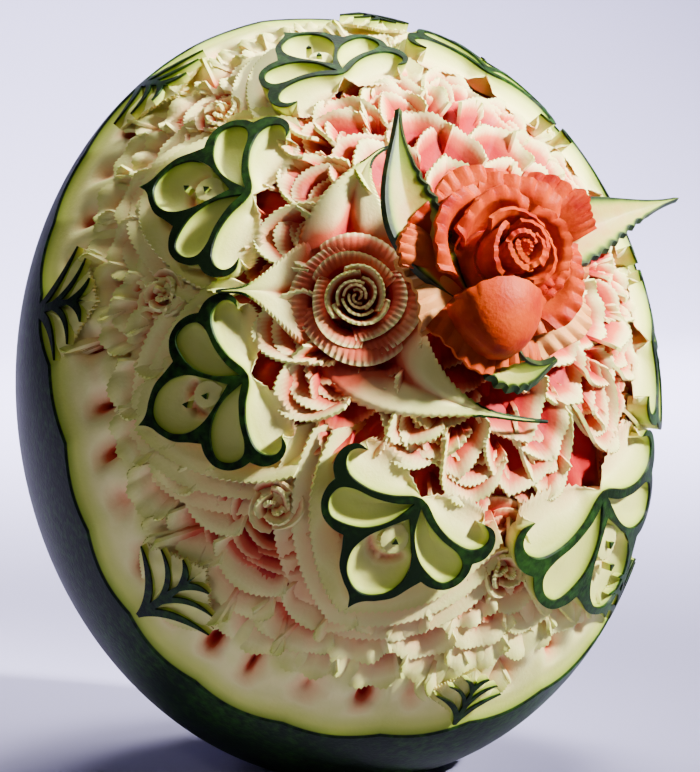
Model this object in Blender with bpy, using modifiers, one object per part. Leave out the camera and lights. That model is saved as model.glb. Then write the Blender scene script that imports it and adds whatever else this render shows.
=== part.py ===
"""A watermelon carved in relief: flowers, lotus medallions and serrated petals, with a red rose set in.

The carving is laid out flat, in millimetres, as if the melon's skin were unrolled: x runs to the
right and y up from the middle of the carved face, and height is above (+) or below (-) the skin.
"""

import math
import random

import bmesh
import bpy
from mathutils import Matrix, Vector

MM = 0.001

# The whole melon, before it is carved
LONG_HALF = 153.8 * MM
ROUND_HALF = 128.5 * MM
LEAN_LEFT = math.radians(4.2)
LEAN_BACK = math.radians(6.4)
FACE_TILT = math.radians(20.0)
FOOT_DEPTH = 6.0 * MM

# The carved face
FLOWER_X, FLOWER_Y = 24.0, 20.0
RIM_REACH = 203.0
RIM_SCALLOPS = 28
RIM_SCALLOP_DEPTH = 3.0
RIM_STEP = 5.0

# The white rose, carved from the melon, and the red one, pinned on it
WHITE_ROSE = (-26.0, 6.7)
RED_ROSE = (27.0, 12.0)
SOCKET_RADIUS = 20.0
SOCKET_DEPTH = 19.0
SEAT_LOW_RADIUS, SEAT_LOW = 33.0, -26.0
SEAT_TOP_RADIUS, SEAT_TOP = 25.5, -4.0
GAP = 0.4

# A medallion: inner corner, outer tip
MEDALLIONS = [
    ((-58, 57), (-102, 81)),
    ((-70, -16), (-117, -25)),
    ((-10, -71), (-40, -111)),
    ((77, -76), (106, -141)),
    ((-10, 109), (-25, 152)),
    ((64, 119), (92, 166)),
    ((131, -8), (184, -24)),
    ((123, 67), (168, 90)),
]
MEDALLION_LENGTH = 51.0
LINE_WIDTH = 3.2
LINE_DEPTH = 9.0
CELL_FLOOR = -4.5
ROOT_DEPTH = -27.0

# An arrow of skin near the rim: outer point, inner head
ARROWS = [
    ((-177, 58), (-132, 38)),
    ((-138, -114), (-98, -91)),
    ((15, -184), (21, -152)),
    ((128, -150), (112, -112)),
    ((190, 32), (152, 30)),
    ((140, 150), (115, 122)),
    ((27, 192), (27, 158)),
    ((-100, 184), (-80, 138)),
]
ARROW_LENGTH = 46.0

# The unevenness of cutting by hand
KNIFE = random.Random(5)
KNIFE_SHAKE = 0.06

Z = Vector((0, 0, 1))


def melon_axis():
    """The melon's long axis, which leans a little to the left and to the back."""
    return Vector((-math.tan(LEAN_LEFT), math.tan(LEAN_BACK), 1)).normalized()


LONG_AXIS = melon_axis()
AXIS_EXCESS = LONG_HALF**2 - ROUND_HALF**2
LOW_POINT = (ROUND_HALF**2 * Z) + (AXIS_EXCESS * LONG_AXIS.z * LONG_AXIS)
HALF_HEIGHT = math.sqrt(LOW_POINT.z)
CENTRE = LOW_POINT / HALF_HEIGHT * (1 - FOOT_DEPTH / HALF_HEIGHT)


def face_frame():
    """Unit vectors of the carved face on the melon shrunk to a ball: outwards, right and up."""
    look = Vector((0, -math.cos(FACE_TILT), math.sin(FACE_TILT)))
    along = look.dot(LONG_AXIS)
    out = (look - along * LONG_AXIS) / ROUND_HALF + along * LONG_AXIS / LONG_HALF
    out.normalize()
    up = (LONG_AXIS - LONG_AXIS.dot(out) * out).normalized()
    return out, up.cross(out), up


FACE_OUT, FACE_RIGHT, FACE_UP = face_frame()


def at_ball(ball, height):
    """The point whose place on the shrunk ball is given, height millimetres above the skin."""
    along = ball.dot(LONG_AXIS)
    across = ball - along * LONG_AXIS
    point = CENTRE + across * ROUND_HALF + along * LONG_HALF * LONG_AXIS
    normal = (across / ROUND_HALF + along / LONG_HALF * LONG_AXIS).normalized()
    return point + normal * (height * MM)


def turn_of(x, y):
    """The angle on the shrunk ball between the face's middle and a flat place."""
    return math.hypot(x * MM / ROUND_HALF, y * MM / LONG_HALF)


def at_flat(x, y, height=0.0):
    """The real place of a flat one."""
    turn = turn_of(x, y)
    if turn < 1e-9:
        return at_ball(FACE_OUT, height)
    side = FACE_RIGHT * (x * MM / ROUND_HALF) + FACE_UP * (y * MM / LONG_HALF)
    return at_ball(FACE_OUT * math.cos(turn) + side / turn * math.sin(turn), height)


def smooth(edge0, edge1, value):
    """0 before edge0, 1 after edge1, and eased between them."""
    t = min(1.0, max(0.0, (value - edge0) / (edge1 - edge0)))
    return t * t * (3 - 2 * t)


def swell(angle, bearing, width):
    """A hill one high at a bearing, in degrees, round the flower's middle."""
    off = (math.degrees(angle) - bearing + 180) % 360 - 180
    return math.exp(-((off / width) ** 2))


def rim_reach(angle):
    """How far the carving reaches from the flower's middle, with the scallops of its edge."""
    reach = RIM_REACH + 18 * swell(angle, 234, 26) - 15 * swell(angle, 187, 20) - 10 * swell(angle, 0, 50)
    return reach + RIM_SCALLOP_DEPTH * abs(math.sin(angle * RIM_SCALLOPS / 2))


def floor_height(x, y):
    """The height of the carved floor that the petals stand on."""
    angle = math.atan2(y - FLOWER_Y, x - FLOWER_X)
    reach = math.hypot(x - FLOWER_X, y - FLOWER_Y)
    inside = rim_reach(angle) - reach
    return -21 + 5 * smooth(55, 85, reach) + 10.5 * smooth(50, 28, inside)


# Making and joining solids


def new_object(name, mesh, home):
    made = bpy.data.objects.new(name, mesh)
    home.objects.link(made)
    return made


def sheet(name, home, across, along, place, thickness):
    """A thin leaf: a grid whose corners are put by place(a, q), a from -1 to 1 and q from 0 to 1."""
    built = placed_grid(across, along, place)
    made = finished(name, home, built)
    wall = made.modifiers.new("wall", "SOLIDIFY")
    wall.thickness = thickness * MM
    wall.offset = 0
    return made


def wedge(name, home, across, along, place, root, thickness=1.5):
    """A carved petal: its grid is one face, and it tapers from a rim, if need be a thick one, to a point."""
    built = placed_grid(across, along, place)
    edges = [e for e in built.edges if e.is_boundary]
    if thickness:
        rim = bmesh.ops.extrude_edge_only(built, edges=edges)["geom"]
        for vertex in (g for g in rim if isinstance(g, bmesh.types.BMVert)):
            vertex.co += (CENTRE - vertex.co).normalized() * (thickness * MM)
        edges = [g for g in rim if isinstance(g, bmesh.types.BMEdge)]
    last = bmesh.ops.extrude_edge_only(built, edges=edges)["geom"]
    ends = [g for g in last if isinstance(g, bmesh.types.BMVert)]
    bmesh.ops.pointmerge(built, verts=ends, merge_co=root)
    bmesh.ops.recalc_face_normals(built, faces=built.faces)
    return finished(name, home, built)


def placed_grid(across, along, place):
    built = bmesh.new()
    bmesh.ops.create_grid(built, x_segments=across, y_segments=along, size=1)
    for vertex in built.verts:
        vertex.co = place(vertex.co.x, (vertex.co.y + 1) / 2)
    bmesh.ops.remove_doubles(built, verts=built.verts, dist=0.001 * MM)
    return built


def finished(name, home, built):
    mesh = bpy.data.meshes.new(name)
    built.to_mesh(mesh)
    built.free()
    return new_object(name, mesh, home)


def tooth(index_share, teeth, depth):
    """A saw edge: how far in from the rim it cuts at a share of the way round."""
    return depth * abs(((index_share * teeth) % 1.0) - 0.5) * 2


def bend(points, share):
    """A place on the curve that three points steer."""
    a, b, c = (Vector(p) for p in points)
    return a * (1 - share) ** 2 + b * 2 * share * (1 - share) + c * share**2


def leaf_place(points, half_width, fold, tip_width=0.6):
    """A pointed leaf along a three-point midline of (x, y, height), its edges fold mm above the middle."""

    def place(a, q):
        middle = bend(points, q)
        ahead = bend(points, min(1.0, q + 0.02)) - bend(points, max(0.0, q - 0.02))
        flat = Vector((ahead.x, ahead.y, 0)).normalized()
        side = Vector((-flat.y, flat.x, 0))
        width = tip_width + half_width * 2.62 * q**0.55 * (1 - q) ** 0.9
        spot = middle + side * (a * width)
        return at_flat(spot.x, spot.y, spot.z + fold * abs(a) ** 1.5)

    return place


def fan_place(root, tip, root_half, half_width, heights, shoulder, point, cup, teeth, depth):
    """A broad petal from a root to a rounded or pointed saw-toothed rim.

    heights are those of the root and the rim, shoulder is the share of its length where its sides
    end, point the share that its tip adds, and cup how far its sides rise above its middle.
    """
    root, tip = Vector(root), Vector(tip)
    length = (tip - root).length
    ahead = (tip - root) / length
    side = Vector((-ahead.y, ahead.x))

    def place(a, q):
        swing = a * math.pi / 2
        reach = shoulder + (1 - shoulder - point) * math.cos(swing) + point * (1 - abs(a)) ** 3
        rim = Vector((length * reach, half_width * math.sin(swing)))
        rim *= 1 - tooth((a + 1) / 2, teeth, depth / length)
        spot = Vector((0, root_half * a)).lerp(rim, q)
        height = heights[0] + (heights[1] - heights[0]) * q**1.3 + cup * a * a * q
        flat = root + ahead * spot.x + side * spot.y
        return at_flat(flat.x, flat.y, height)

    return place


def body_mesh(made):
    """An object's mesh as its modifiers leave it."""
    graph = bpy.context.evaluated_depsgraph_get()
    return bpy.data.meshes.new_from_object(made.evaluated_get(graph))


def largest_body(built):
    """Keeps the largest closed body of a mesh, which drops scraps and fills sealed hollows."""
    left, bodies = set(built.faces), []
    while left:
        body, edge = set(), [left.pop()]
        while edge:
            face = edge.pop()
            body.add(face)
            near = {f for e in face.edges for f in e.link_faces} & left
            left -= near
            edge.extend(near)
        bodies.append(body)
    bodies.sort(key=len)
    scraps = [f for body in bodies[:-1] for f in body]
    bmesh.ops.delete(built, geom=scraps, context="FACES")


def split_to_triangles(built):
    """Splits faces into triangles, from a middle point where a diagonal would double an edge."""
    crossed = [None]
    while crossed:
        built.verts.index_update()
        trial = built.copy()
        bmesh.ops.triangulate(trial, faces=trial.faces)
        doubled = [{v.index for v in e.verts} for e in trial.edges if len(e.link_faces) > 2]
        trial.free()
        wide = [f for f in built.faces if len(f.verts) > 3]
        crossed = [f for f in wide if any(pair <= {v.index for v in f.verts} for pair in doubled)]
        bmesh.ops.poke(built, faces=crossed)
    bmesh.ops.triangulate(built, faces=built.faces)


def join_bodies(core, others, most, cutters=None):
    """Joins a collection's solids to a core and cuts another's away, as at most so many triangles."""
    changes = [("UNION", others)] + ([("DIFFERENCE", cutters)] if cutters else [])
    for operation, group in changes:
        change = core.modifiers.new(operation.lower(), "BOOLEAN")
        change.operation = operation
        change.operand_type = "COLLECTION"
        change.collection = group
        change.solver = "MANIFOLD"
    built = bmesh.new()
    built.from_mesh(body_mesh(core))
    core.modifiers.clear()
    largest_body(built)
    split_to_triangles(built)
    built.to_mesh(core.data)
    fewer = core.modifiers.new("fewer", "DECIMATE")
    fewer.ratio = min(1.0, most / len(built.faces))
    built.free()
    core.data = body_mesh(core)
    core.modifiers.clear()
    for vertex in core.data.vertices:
        if vertex.co.z > 0.1 * MM:
            vertex.co += Vector([KNIFE.uniform(-KNIFE_SHAKE, KNIFE_SHAKE) * MM for _ in range(3)])
    for _, group in changes:
        for piece in list(group.objects):
            bpy.data.objects.remove(piece)
        bpy.data.collections.remove(group)


def material(name, colour, roughness):
    made = bpy.data.materials.new(name)
    made.use_nodes = True
    shader = made.node_tree.nodes["Principled BSDF"]
    shader.inputs["Base Color"].default_value = (*colour, 1)
    shader.inputs["Roughness"].default_value = roughness
    shader.inputs["Metallic"].default_value = 0.0
    return made


def collection(name):
    made = bpy.data.collections.new(name)
    bpy.context.scene.collection.children.link(made)
    return made


# The melon

MELON_TRIANGLES = 11600
CORE_SLICES = 60
CARVED_RINGS = [0.2, 0.4, 0.6, 0.78, 0.9]
BACK_RINGS = 8


def melon_core(home):
    """The whole melon, with its face dished out to the floor of the carving and a flat to stand on."""
    ring_count = len(CARVED_RINGS) + 2 + BACK_RINGS
    built = bmesh.new()
    bmesh.ops.create_uvsphere(built, u_segments=CORE_SLICES, v_segments=ring_count + 1, radius=1)
    for vertex in built.verts:
        ring = round(math.acos(max(-1, min(1, vertex.co.z))) / math.pi * (ring_count + 1))
        angle = math.atan2(vertex.co.y, vertex.co.x)
        vertex.co = core_place(ring, angle, ring_count)
    foot = bmesh.ops.bisect_plane(
        built, geom=built.verts[:] + built.edges[:] + built.faces[:], plane_co=(0, 0, 0),
        plane_no=(0, 0, -1), clear_outer=True,
    )
    rim = [e for e in foot["geom_cut"] if isinstance(e, bmesh.types.BMEdge)]
    bmesh.ops.contextual_create(built, geom=rim)
    bmesh.ops.recalc_face_normals(built, faces=built.faces)
    mesh = bpy.data.meshes.new("melon")
    built.to_mesh(mesh)
    built.free()
    return new_object("melon", mesh, home)


def core_place(ring, angle, ring_count):
    """Where a ring's corner goes: on the carved floor, on the step at its rim, or on the skin behind."""
    rim = rim_reach(angle)
    carved = len(CARVED_RINGS)
    if ring <= carved:
        x, y = around_flower(angle, rim * CARVED_RINGS[ring - 1] if ring else 0)
        return at_flat(x, y, floor_height(x, y))
    if ring == carved + 1:
        return at_flat(*around_flower(angle, rim - RIM_STEP), -RIM_STEP)
    x, y = around_flower(angle, rim)
    start = turn_of(x, y)
    turn = start + (math.pi - start) * (ring - carved - 2) / (ring_count - carved - 1)
    side = (FACE_RIGHT * (x / ROUND_HALF) + FACE_UP * (y / LONG_HALF)).normalized()
    return at_ball(FACE_OUT * math.cos(turn) + side * math.sin(turn), 0)


def around_flower(angle, reach):
    """A flat place, by its bearing in radians and its distance from the flower's middle."""
    return FLOWER_X + reach * math.cos(angle), FLOWER_Y + reach * math.sin(angle)


# The lotus medallions. A place in one is (u, v): u mm from its inner corner towards its tip, v across.

LOBE = [(-11, 30), (-10, 36), (-4.5, 39), (1, 38.5), (6, 36.5), (10, 32)]
FLANK = [(10, 32), (16, 32), (21.5, 28), (24, 21)]
HEART = [(24, 21), (30.5, 16.5), (37, 12), (43.5, 5.5), (51, 0)]
LINE, CELL = 0.0, CELL_FLOOR
RIB_HALF = 1.1
COLLARS = [(60, 44, -6.5), (71, 50, -9.5)]


def motif_frame(inner, outer, length):
    """Turns a motif's own (u, v) into flat (x, y)."""
    inner, outer = Vector(inner), Vector(outer)
    scale = (outer - inner).length / length
    ahead = (outer - inner).normalized() * scale
    side = Vector((-ahead.y, ahead.x))
    return lambda u, v: inner + ahead * u + side * v


def medallion_columns():
    """The spokes of a medallion, from hook to hook: where each ends, its shift and its height."""
    half = []
    for cell in (LOBE, FLANK, HEART):
        if half:
            half += [(cell[0], RIB_HALF, LINE), (cell[0], -RIB_HALF, LINE)]
        first = -RIB_HALF - 0.1 if half else 0
        last = RIB_HALF + 0.1 if cell != HEART else 0
        shifts = [first] + [0] * (len(cell) - 2) + [last]
        half += [(end, shift, CELL) for end, shift in zip(cell, shifts)]
    return half + [((u, -v), -shift, height) for (u, v), shift, height in reversed(half[:-1])]


def medallion(name, home, ends):
    """One medallion: cells sunk between standing lines of skin, two flaps inside it and two collars."""
    to_flat = motif_frame(*ends, MEDALLION_LENGTH)
    columns = medallion_columns()
    last = len(columns) - 1

    def place(a, q):
        end, shift, height = columns[round((a + 1) / 2 * last)]
        row = round(q * 4)
        far = Vector(end).length
        way = Vector(end).normalized()
        reach = (0, 0.3 * far, far - LINE_WIDTH / 2, far - LINE_WIDTH / 2 + 0.4, far + LINE_WIDTH / 2)[row]
        spot = way * reach + Vector((-way.y, way.x)) * (shift if row else 0)
        flat = to_flat(*spot)
        return at_flat(flat.x, flat.y, height if row in (1, 2) else LINE)

    wedge(name + "_face", home, last, 4, place, at_flat(*to_flat(-4, 0), ROOT_DEPTH), LINE_DEPTH)
    for step, (length, half_width, height) in enumerate(COLLARS):
        root, tip = to_flat(-36, 0), to_flat(length, 0)
        collar = fan_place(root, tip, 12, half_width, (-20, height), 0.34, 0.12, 1.0, 6, 2.0)
        below = at_flat(*to_flat(-14 - 3 * step, 0), ROOT_DEPTH - 1 - step)
        wedge(f"{name}_collar{step}", home, 12, 2, collar, below)
    for side in (1, -1):
        root, tip = to_flat(-38, side * 10), to_flat(0, side * 16)
        flap = fan_place(root, tip, 7, 15, (-18, -2), 0.45, 0.0, 1.5, 4, 1.8)
        wedge(f"{name}_flap{side}", home, 8, 2, flap, at_flat(*to_flat(-26, side * 12), ROOT_DEPTH))


# Arrows of skin, each with five prongs that open towards the flower

ARROW_HALF = [
    (39, 0), (45.5, 7.5), (35.5, 3.4), (43, 16), (29, 4.6), (31, 14), (36, 24), (22, 12), (10, 4.5), (0, 0),
]


def arrow(name, home, ends):
    """One arrow: its outline, filled and sunk into the melon, on a petal that points outwards."""
    to_flat = motif_frame(*ends, ARROW_LENGTH)
    bed = fan_place(to_flat(62, 0), to_flat(2, 0), 10, 24, (-16, -2.5), 0.5, 0.2, 2.0, 4, 1.5)
    wedge(name + "_bed", home, 8, 2, bed, at_flat(*to_flat(30, 0), ROOT_DEPTH))
    outline = ARROW_HALF + [(u, -v) for u, v in reversed(ARROW_HALF[1:-1])]
    built = bmesh.new()
    bmesh.ops.create_circle(built, cap_ends=True, segments=len(outline), radius=1)
    built.verts.ensure_lookup_table()
    for vertex in built.verts[:]:
        turn = math.atan2(vertex.co.x, vertex.co.y) / math.tau
        flat = to_flat(*outline[round(turn * len(outline)) % len(outline)])
        vertex.co = at_flat(flat.x, flat.y, 0)
    sunk = bmesh.ops.extrude_face_region(built, geom=built.faces[:])["geom"]
    for vertex in (g for g in sunk if isinstance(g, bmesh.types.BMVert)):
        vertex.co += (CENTRE - vertex.co).normalized() * (LINE_DEPTH * MM)
    bmesh.ops.triangulate(built, faces=built.faces)
    bmesh.ops.recalc_face_normals(built, faces=built.faces)
    finished(name, home, built)


# Petals of the face

SEPALS = [
    ([(-26, 22, -15), (-22, 52, 3), (-3, 69, -3)], 19),
    ([(-16, -8, -15), (2, -42, 2), (46, -46, -2)], 17),
    ([(-42, 10, -15), (-62, 10, 3), (-76, 19, -3)], 18),
]
NEAR_PETALS = [(88, 55), (292, 58), (330, 62), (48, 60), (8, 64)]
FAR_PETALS = [(133, 76), (90, 78), (277, 87), (320, 80), (222, 88), (46, 92), (2, 92)]
SCOOPS = 30


def polar(angle, reach):
    """A flat place, by its bearing and distance from the flower's middle."""
    return around_flower(math.radians(angle), reach)


def pointed_petals(home):
    """The petals between the medallions, whose tips keep a bit of skin."""
    for row, petals in enumerate((NEAR_PETALS, FAR_PETALS)):
        for index, (angle, reach) in enumerate(petals):
            fan = fan_place(
                polar(angle, reach - 34), polar(angle, reach), 7, 14, (-20, -2.0), 0.5, 0.22, 2.0, 4, 2.0
            )
            wedge(f"petal_{row}{index}", home, 8, 2, fan, at_flat(*polar(angle, reach - 22), ROOT_DEPTH))


def scoops(home):
    """The ring of broad scoops outside the medallions, with slits between them."""
    for index in range(SCOOPS):
        angle = (index + 0.5) * 360 / SCOOPS
        reach = rim_reach(math.radians(angle)) - 24
        root, tip = polar(angle, reach - 38), polar(angle, reach)
        fan = fan_place(root, tip, 7, 0.112 * reach, (-17, -4.0), 0.55, 0.0, 1.5, 2, 1.0)
        wedge(f"scoop_{index}", home, 5, 1, fan, at_flat(*polar(angle, reach - 18), ROOT_DEPTH))


def small_roses(home):
    """A small rose sunk between each two medallions."""
    for index, angle in enumerate((45, 90, 134, 176, 224, 273, 322, 5)):
        middle = polar(angle, 128)
        for turn in range(3):
            facing = math.radians(120 * turn + 40 + 17 * index)
            petal = rose_petal(middle, facing, 0.9, 6, 9 + turn, -19, -6)
            wedge(f"bud_{index}{turn}", home, 4, 1, petal, behind(middle, facing, 15 + turn), 0)


def rose_petal(middle, facing, half_arc, root_reach, rim_reach, root_height, rim_height, droop=1.5):
    """One petal of a flower in the melon: part of a cup round its middle."""

    def place(a, q):
        angle = facing + a * half_arc
        reach = root_reach + (rim_reach - root_reach) * q**1.5 + 0.8 * a
        height = root_height + (rim_height - root_height) * q - droop * a * a * q
        return at_flat(middle[0] + reach * math.cos(angle), middle[1] + reach * math.sin(angle), height)

    return place


def behind(middle, facing, depth):
    """The root point of a rose's petal: just past the middle from where the petal faces."""
    return at_flat(middle[0] - 2 * math.cos(facing), middle[1] - 2 * math.sin(facing), -depth)


WHITE_ROWS = [
    (3, 1.15, 2.5, 4.5, 0.0, 20),
    (3, 1.10, 7.5, 10.0, -0.5, 80),
    (4, 0.90, 12.0, 17.0, -3.0, 30),
    (5, 0.72, 17.0, 24.5, -4.5, 60),
]


def white_rose(home):
    """The rose of flesh to the left of the flower's middle."""
    for row, (count, half_arc, root, rim, top, start) in enumerate(WHITE_ROWS):
        for index in range(count):
            facing = math.radians(start + 360 * index / count)
            petal = rose_petal(WHITE_ROSE, facing, half_arc, root, rim, -21, top)
            wedge(f"white_{row}{index}", home, 6, 1, petal, behind(WHITE_ROSE, facing, 12 + row), 0)


def sepals(home):
    """The three long pointed leaves that the white rose lies on."""
    for index, (points, half_width) in enumerate(SEPALS):
        leaf = leaf_place(points, half_width, 2.5)
        wedge(f"sepal_{index}", home, 4, 6, leaf, at_flat(*points[1][:2], ROOT_DEPTH), 2.2)


def round_block(name, home, sides, low_radius, high_radius, low, high):
    """A round block about the red rose's axis, from one height over the skin to another."""
    middle, out, _, _ = red_axes()
    turn = out.to_track_quat("Z", "Y").to_matrix().to_4x4()
    built = bmesh.new()
    bmesh.ops.create_cone(
        built, cap_ends=True, segments=sides, radius1=low_radius * MM, radius2=high_radius * MM,
        depth=(high - low) * MM, matrix=Matrix.Translation(middle + out * ((low + high) / 2 * MM)) @ turn,
    )
    return finished(name, home, built)


def socket(home):
    """The round hole that the red rose's stub sits in."""
    cutter = round_block("socket", home, 24, SOCKET_RADIUS, SOCKET_RADIUS, -SOCKET_DEPTH, 41)
    cutter.hide_render = True
    cutter.display_type = "WIRE"


def melon(home):
    """The carved melon, joined into one solid."""
    relief, cutters = collection("relief"), collection("cutters")
    core = melon_core(home)
    for index, ends in enumerate(MEDALLIONS):
        medallion(f"medallion_{index}", relief, ends)
    for index, ends in enumerate(ARROWS):
        arrow(f"arrow_{index}", relief, ends)
    pointed_petals(relief)
    scoops(relief)
    small_roses(relief)
    white_rose(relief)
    sepals(relief)
    round_block("seat", relief, 32, SEAT_LOW_RADIUS, SEAT_TOP_RADIUS, SEAT_LOW, SEAT_TOP)
    socket(cutters)
    join_bodies(core, relief, MELON_TRIANGLES, cutters)
    core.data.materials.append(material("melon_flesh", (0.62, 0.66, 0.36), 0.4))


# The red rose. Its petals are set out round its own axis, which stands square to the melon's skin.

ROSE_TRIANGLES = 2150
RED_ROWS = [
    (3, 1.25, 3.0, 4.5, 12.5, 26, 10),
    (3, 1.20, 7.0, 9.5, 12, 25, 70),
    (4, 0.95, 11.0, 17.0, 11.5, 22, 30),
    (5, 0.72, 14.0, 26.0, 9, 17, 12),
    (6, 0.55, 14.0, 35.0, 5, 11, 40),
]
RED_SEPALS = [
    ([(12, 6, 0), (-14, 22, 16), (2, 68, 18)], 9),
    ([(46, 14, 0), (74, 30, 14), (101, 37, 30)], 13),
    ([(16, -2, 0), (14, -36, 2), (38, -24, 12)], 8),
]


def red_axes():
    middle = at_flat(*RED_ROSE, 0)
    out = (at_flat(*RED_ROSE, 10) - middle).normalized()
    right = (FACE_RIGHT - FACE_RIGHT.dot(out) * out).normalized()
    return middle, out, right, out.cross(right)


def red_petal(facing, half_arc, root_reach, rim_reach, root_height, rim_height):
    """One petal of the red rose, with a pointed, slightly turned-back rim."""
    middle, out, right, up = red_axes()

    def place(a, q):
        angle = facing + a * half_arc * (0.55 + 0.45 * q)
        reach = root_reach + (rim_reach - root_reach) * q**1.4 + 0.9 * a
        height = root_height + (rim_height - root_height) * q**0.8 - 3.5 * a * a * q
        side = right * math.cos(angle) + up * math.sin(angle)
        return middle + (side * reach + out * height) * MM

    return place


def red_rose(home):
    """The rose cut from a riper melon: a stub in the socket, petals and three leaves of rind."""
    middle, out, right, up = red_axes()
    petals = collection("petals")
    stub_radius = SOCKET_RADIUS - GAP
    stub = round_block("red_rose", home, 24, stub_radius, stub_radius, GAP - SOCKET_DEPTH, 4)
    for row, (count, half_arc, root, rim, deep, top, start) in enumerate(RED_ROWS):
        for index in range(count):
            facing = math.radians(start + 360 * index / count)
            petal = red_petal(facing, half_arc, root, rim, 1.5, top)
            back = right * math.cos(facing) + up * math.sin(facing)
            root_point = middle + (out * deep - back * (2 + 0.2 * index)) * MM
            wedge(f"red_{row}{index}", petals, 6, 2, petal, root_point, 0)
    for index, (points, half_width) in enumerate(RED_SEPALS):
        sheet(f"rind_leaf_{index}", petals, 4, 6, leaf_place(points, half_width, 3.0), 3.0)
    join_bodies(stub, petals, ROSE_TRIANGLES)
    stub.data.materials.append(material("red_flesh", (0.72, 0.12, 0.05), 0.35))


def main():
    for old in list(bpy.data.objects):
        bpy.data.objects.remove(old)
    home = collection("carved_watermelon")
    melon(home)
    red_rose(home)


main()
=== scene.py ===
"""Dresses the carved watermelon: fine petals, medallions and roses of cut flesh and rind, on a pale floor.

The carving is laid out on a flat plan in millimetres, as if the skin were unrolled: x to the right,
y up from the middle of the carved face, height above (+) or below (-) the skin.
"""

import math
import random

import bmesh
import bpy
from bpy.props import FloatProperty, FloatVectorProperty, IntProperty, PointerProperty
from mathutils import Matrix, Vector, noise


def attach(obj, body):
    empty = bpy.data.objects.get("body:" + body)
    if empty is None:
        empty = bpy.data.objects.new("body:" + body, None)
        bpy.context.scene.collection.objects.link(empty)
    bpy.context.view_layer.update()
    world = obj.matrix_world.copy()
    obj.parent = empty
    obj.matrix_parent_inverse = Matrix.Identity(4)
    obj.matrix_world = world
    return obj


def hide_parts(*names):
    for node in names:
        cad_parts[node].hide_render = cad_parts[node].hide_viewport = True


bl_info = {
    "name": "Carved Watermelon",
    "version": (1, 0, 0),
    "blender": (4, 5, 0),
    "location": "View3D > Sidebar > Melon",
    "description": "Carves a watermelon with flowers, lotus medallions and serrated petals",
    "category": "Mesh",
}

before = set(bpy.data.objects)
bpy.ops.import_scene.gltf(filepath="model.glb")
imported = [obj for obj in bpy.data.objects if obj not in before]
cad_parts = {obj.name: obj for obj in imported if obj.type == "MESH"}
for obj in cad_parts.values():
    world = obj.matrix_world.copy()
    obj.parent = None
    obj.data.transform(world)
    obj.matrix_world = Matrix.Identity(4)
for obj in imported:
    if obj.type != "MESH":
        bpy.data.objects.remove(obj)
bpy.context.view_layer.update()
MM = 0.001
FINE = 1.0

# Places on the flat plan, in millimetres
FLOWER = (24.0, 20.0)
WHITE_ROSE = (-26.0, 6.7)
RED_ROSE = (27.0, 12.0)
# Where each medallion starts and ends, from the flower outwards
MEDALLIONS = [
    ((-58, 57), (-102, 81)),
    ((-70, -16), (-117, -25)),
    ((-10, -71), (-40, -111)),
    ((77, -76), (106, -141)),
    ((-10, 109), (-25, 152)),
    ((64, 119), (92, 166)),
    ((131, -8), (184, -24)),
    ((123, 67), (168, 90)),
]
MEDALLION_LENGTH = 51.0
# Where each tuft of skin starts and ends, from the carving's edge inwards
ARROWS = [
    ((-177, 58), (-132, 38)),
    ((-138, -114), (-98, -91)),
    ((15, -184), (21, -152)),
    ((128, -150), (112, -112)),
    ((190, 32), (152, 30)),
    ((140, 150), (115, 122)),
    ((27, 192), (27, 158)),
    ((-100, 184), (-80, 138)),
]
ARROW_LENGTH = 46.0
# Bearings of the gaps between the medallions, and how far out the small roses stand in them
GAPS = [45, 90, 134, 176, 224, 273, 322, 5]
SMALL_ROSE_REACH = 128
# Where the carving's edge swells or draws in: how far, at which bearing, and over how many degrees
EDGE_SWELLS = [(18, 234, 26), (-15, 187, 20), (-10, 0, 50)]
# Depths below the skin where each colour of the melon is reached, and the depth of the whole range
LAYERS = [(0.9, "fringe"), (2.8, "rind"), (7.5, "cream"), (11.0, "blush"), (14.5, "pink"), (18.5, "red")]
LAYERS_DEPTH = 26.0


def linear(colour):
    """An sRGB hex colour as the linear one that Blender's shaders take."""
    parts = [int(colour[i : i + 2], 16) / 255 for i in (1, 3, 5)]
    return tuple(p / 12.92 if p <= 0.04045 else ((p + 0.055) / 1.055) ** 2.4 for p in parts)


def length(name, millimetres, description):
    return FloatProperty(
        name=name, description=description, default=millimetres * MM, unit="LENGTH", precision=4
    )


def lean(name, degrees, description):
    return FloatProperty(
        name=name, description=description, default=math.radians(degrees), subtype="ANGLE"
    )


def colour(name, value, description):
    return FloatVectorProperty(
        name=name, description=description, default=linear(value), subtype="COLOR", size=3
    )


class MelonSizes(bpy.types.PropertyGroup):
    """Sizes of the melon and of its carving"""

    long_half: length("Half length", 153.8, "Half the melon's length along its own axis")
    round_half: length("Half width", 128.5, "Half the melon's width across its axis")
    foot: length("Foot cut", 6.0, "How much is cut off below, for the melon to stand on")
    rim_reach: length("Carving reach", 203.0, "From the flower's middle to the edge of the carving")
    tooth: length("Tooth", 2.3, "Width of one tooth of a petal's rim")
    tooth_depth: length("Tooth depth", 1.2, "Depth of the teeth of a petal's rim")
    petal_wall: length("Petal thickness", 1.3, "Thickness of a carved petal")
    lean_left: lean("Lean left", 4.2, "How far the melon leans left")
    lean_back: lean("Lean back", 6.4, "How far the melon leans back")
    seed: IntProperty(name="Seed", description="Changes the hand-cut unevenness", default=5)


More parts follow.
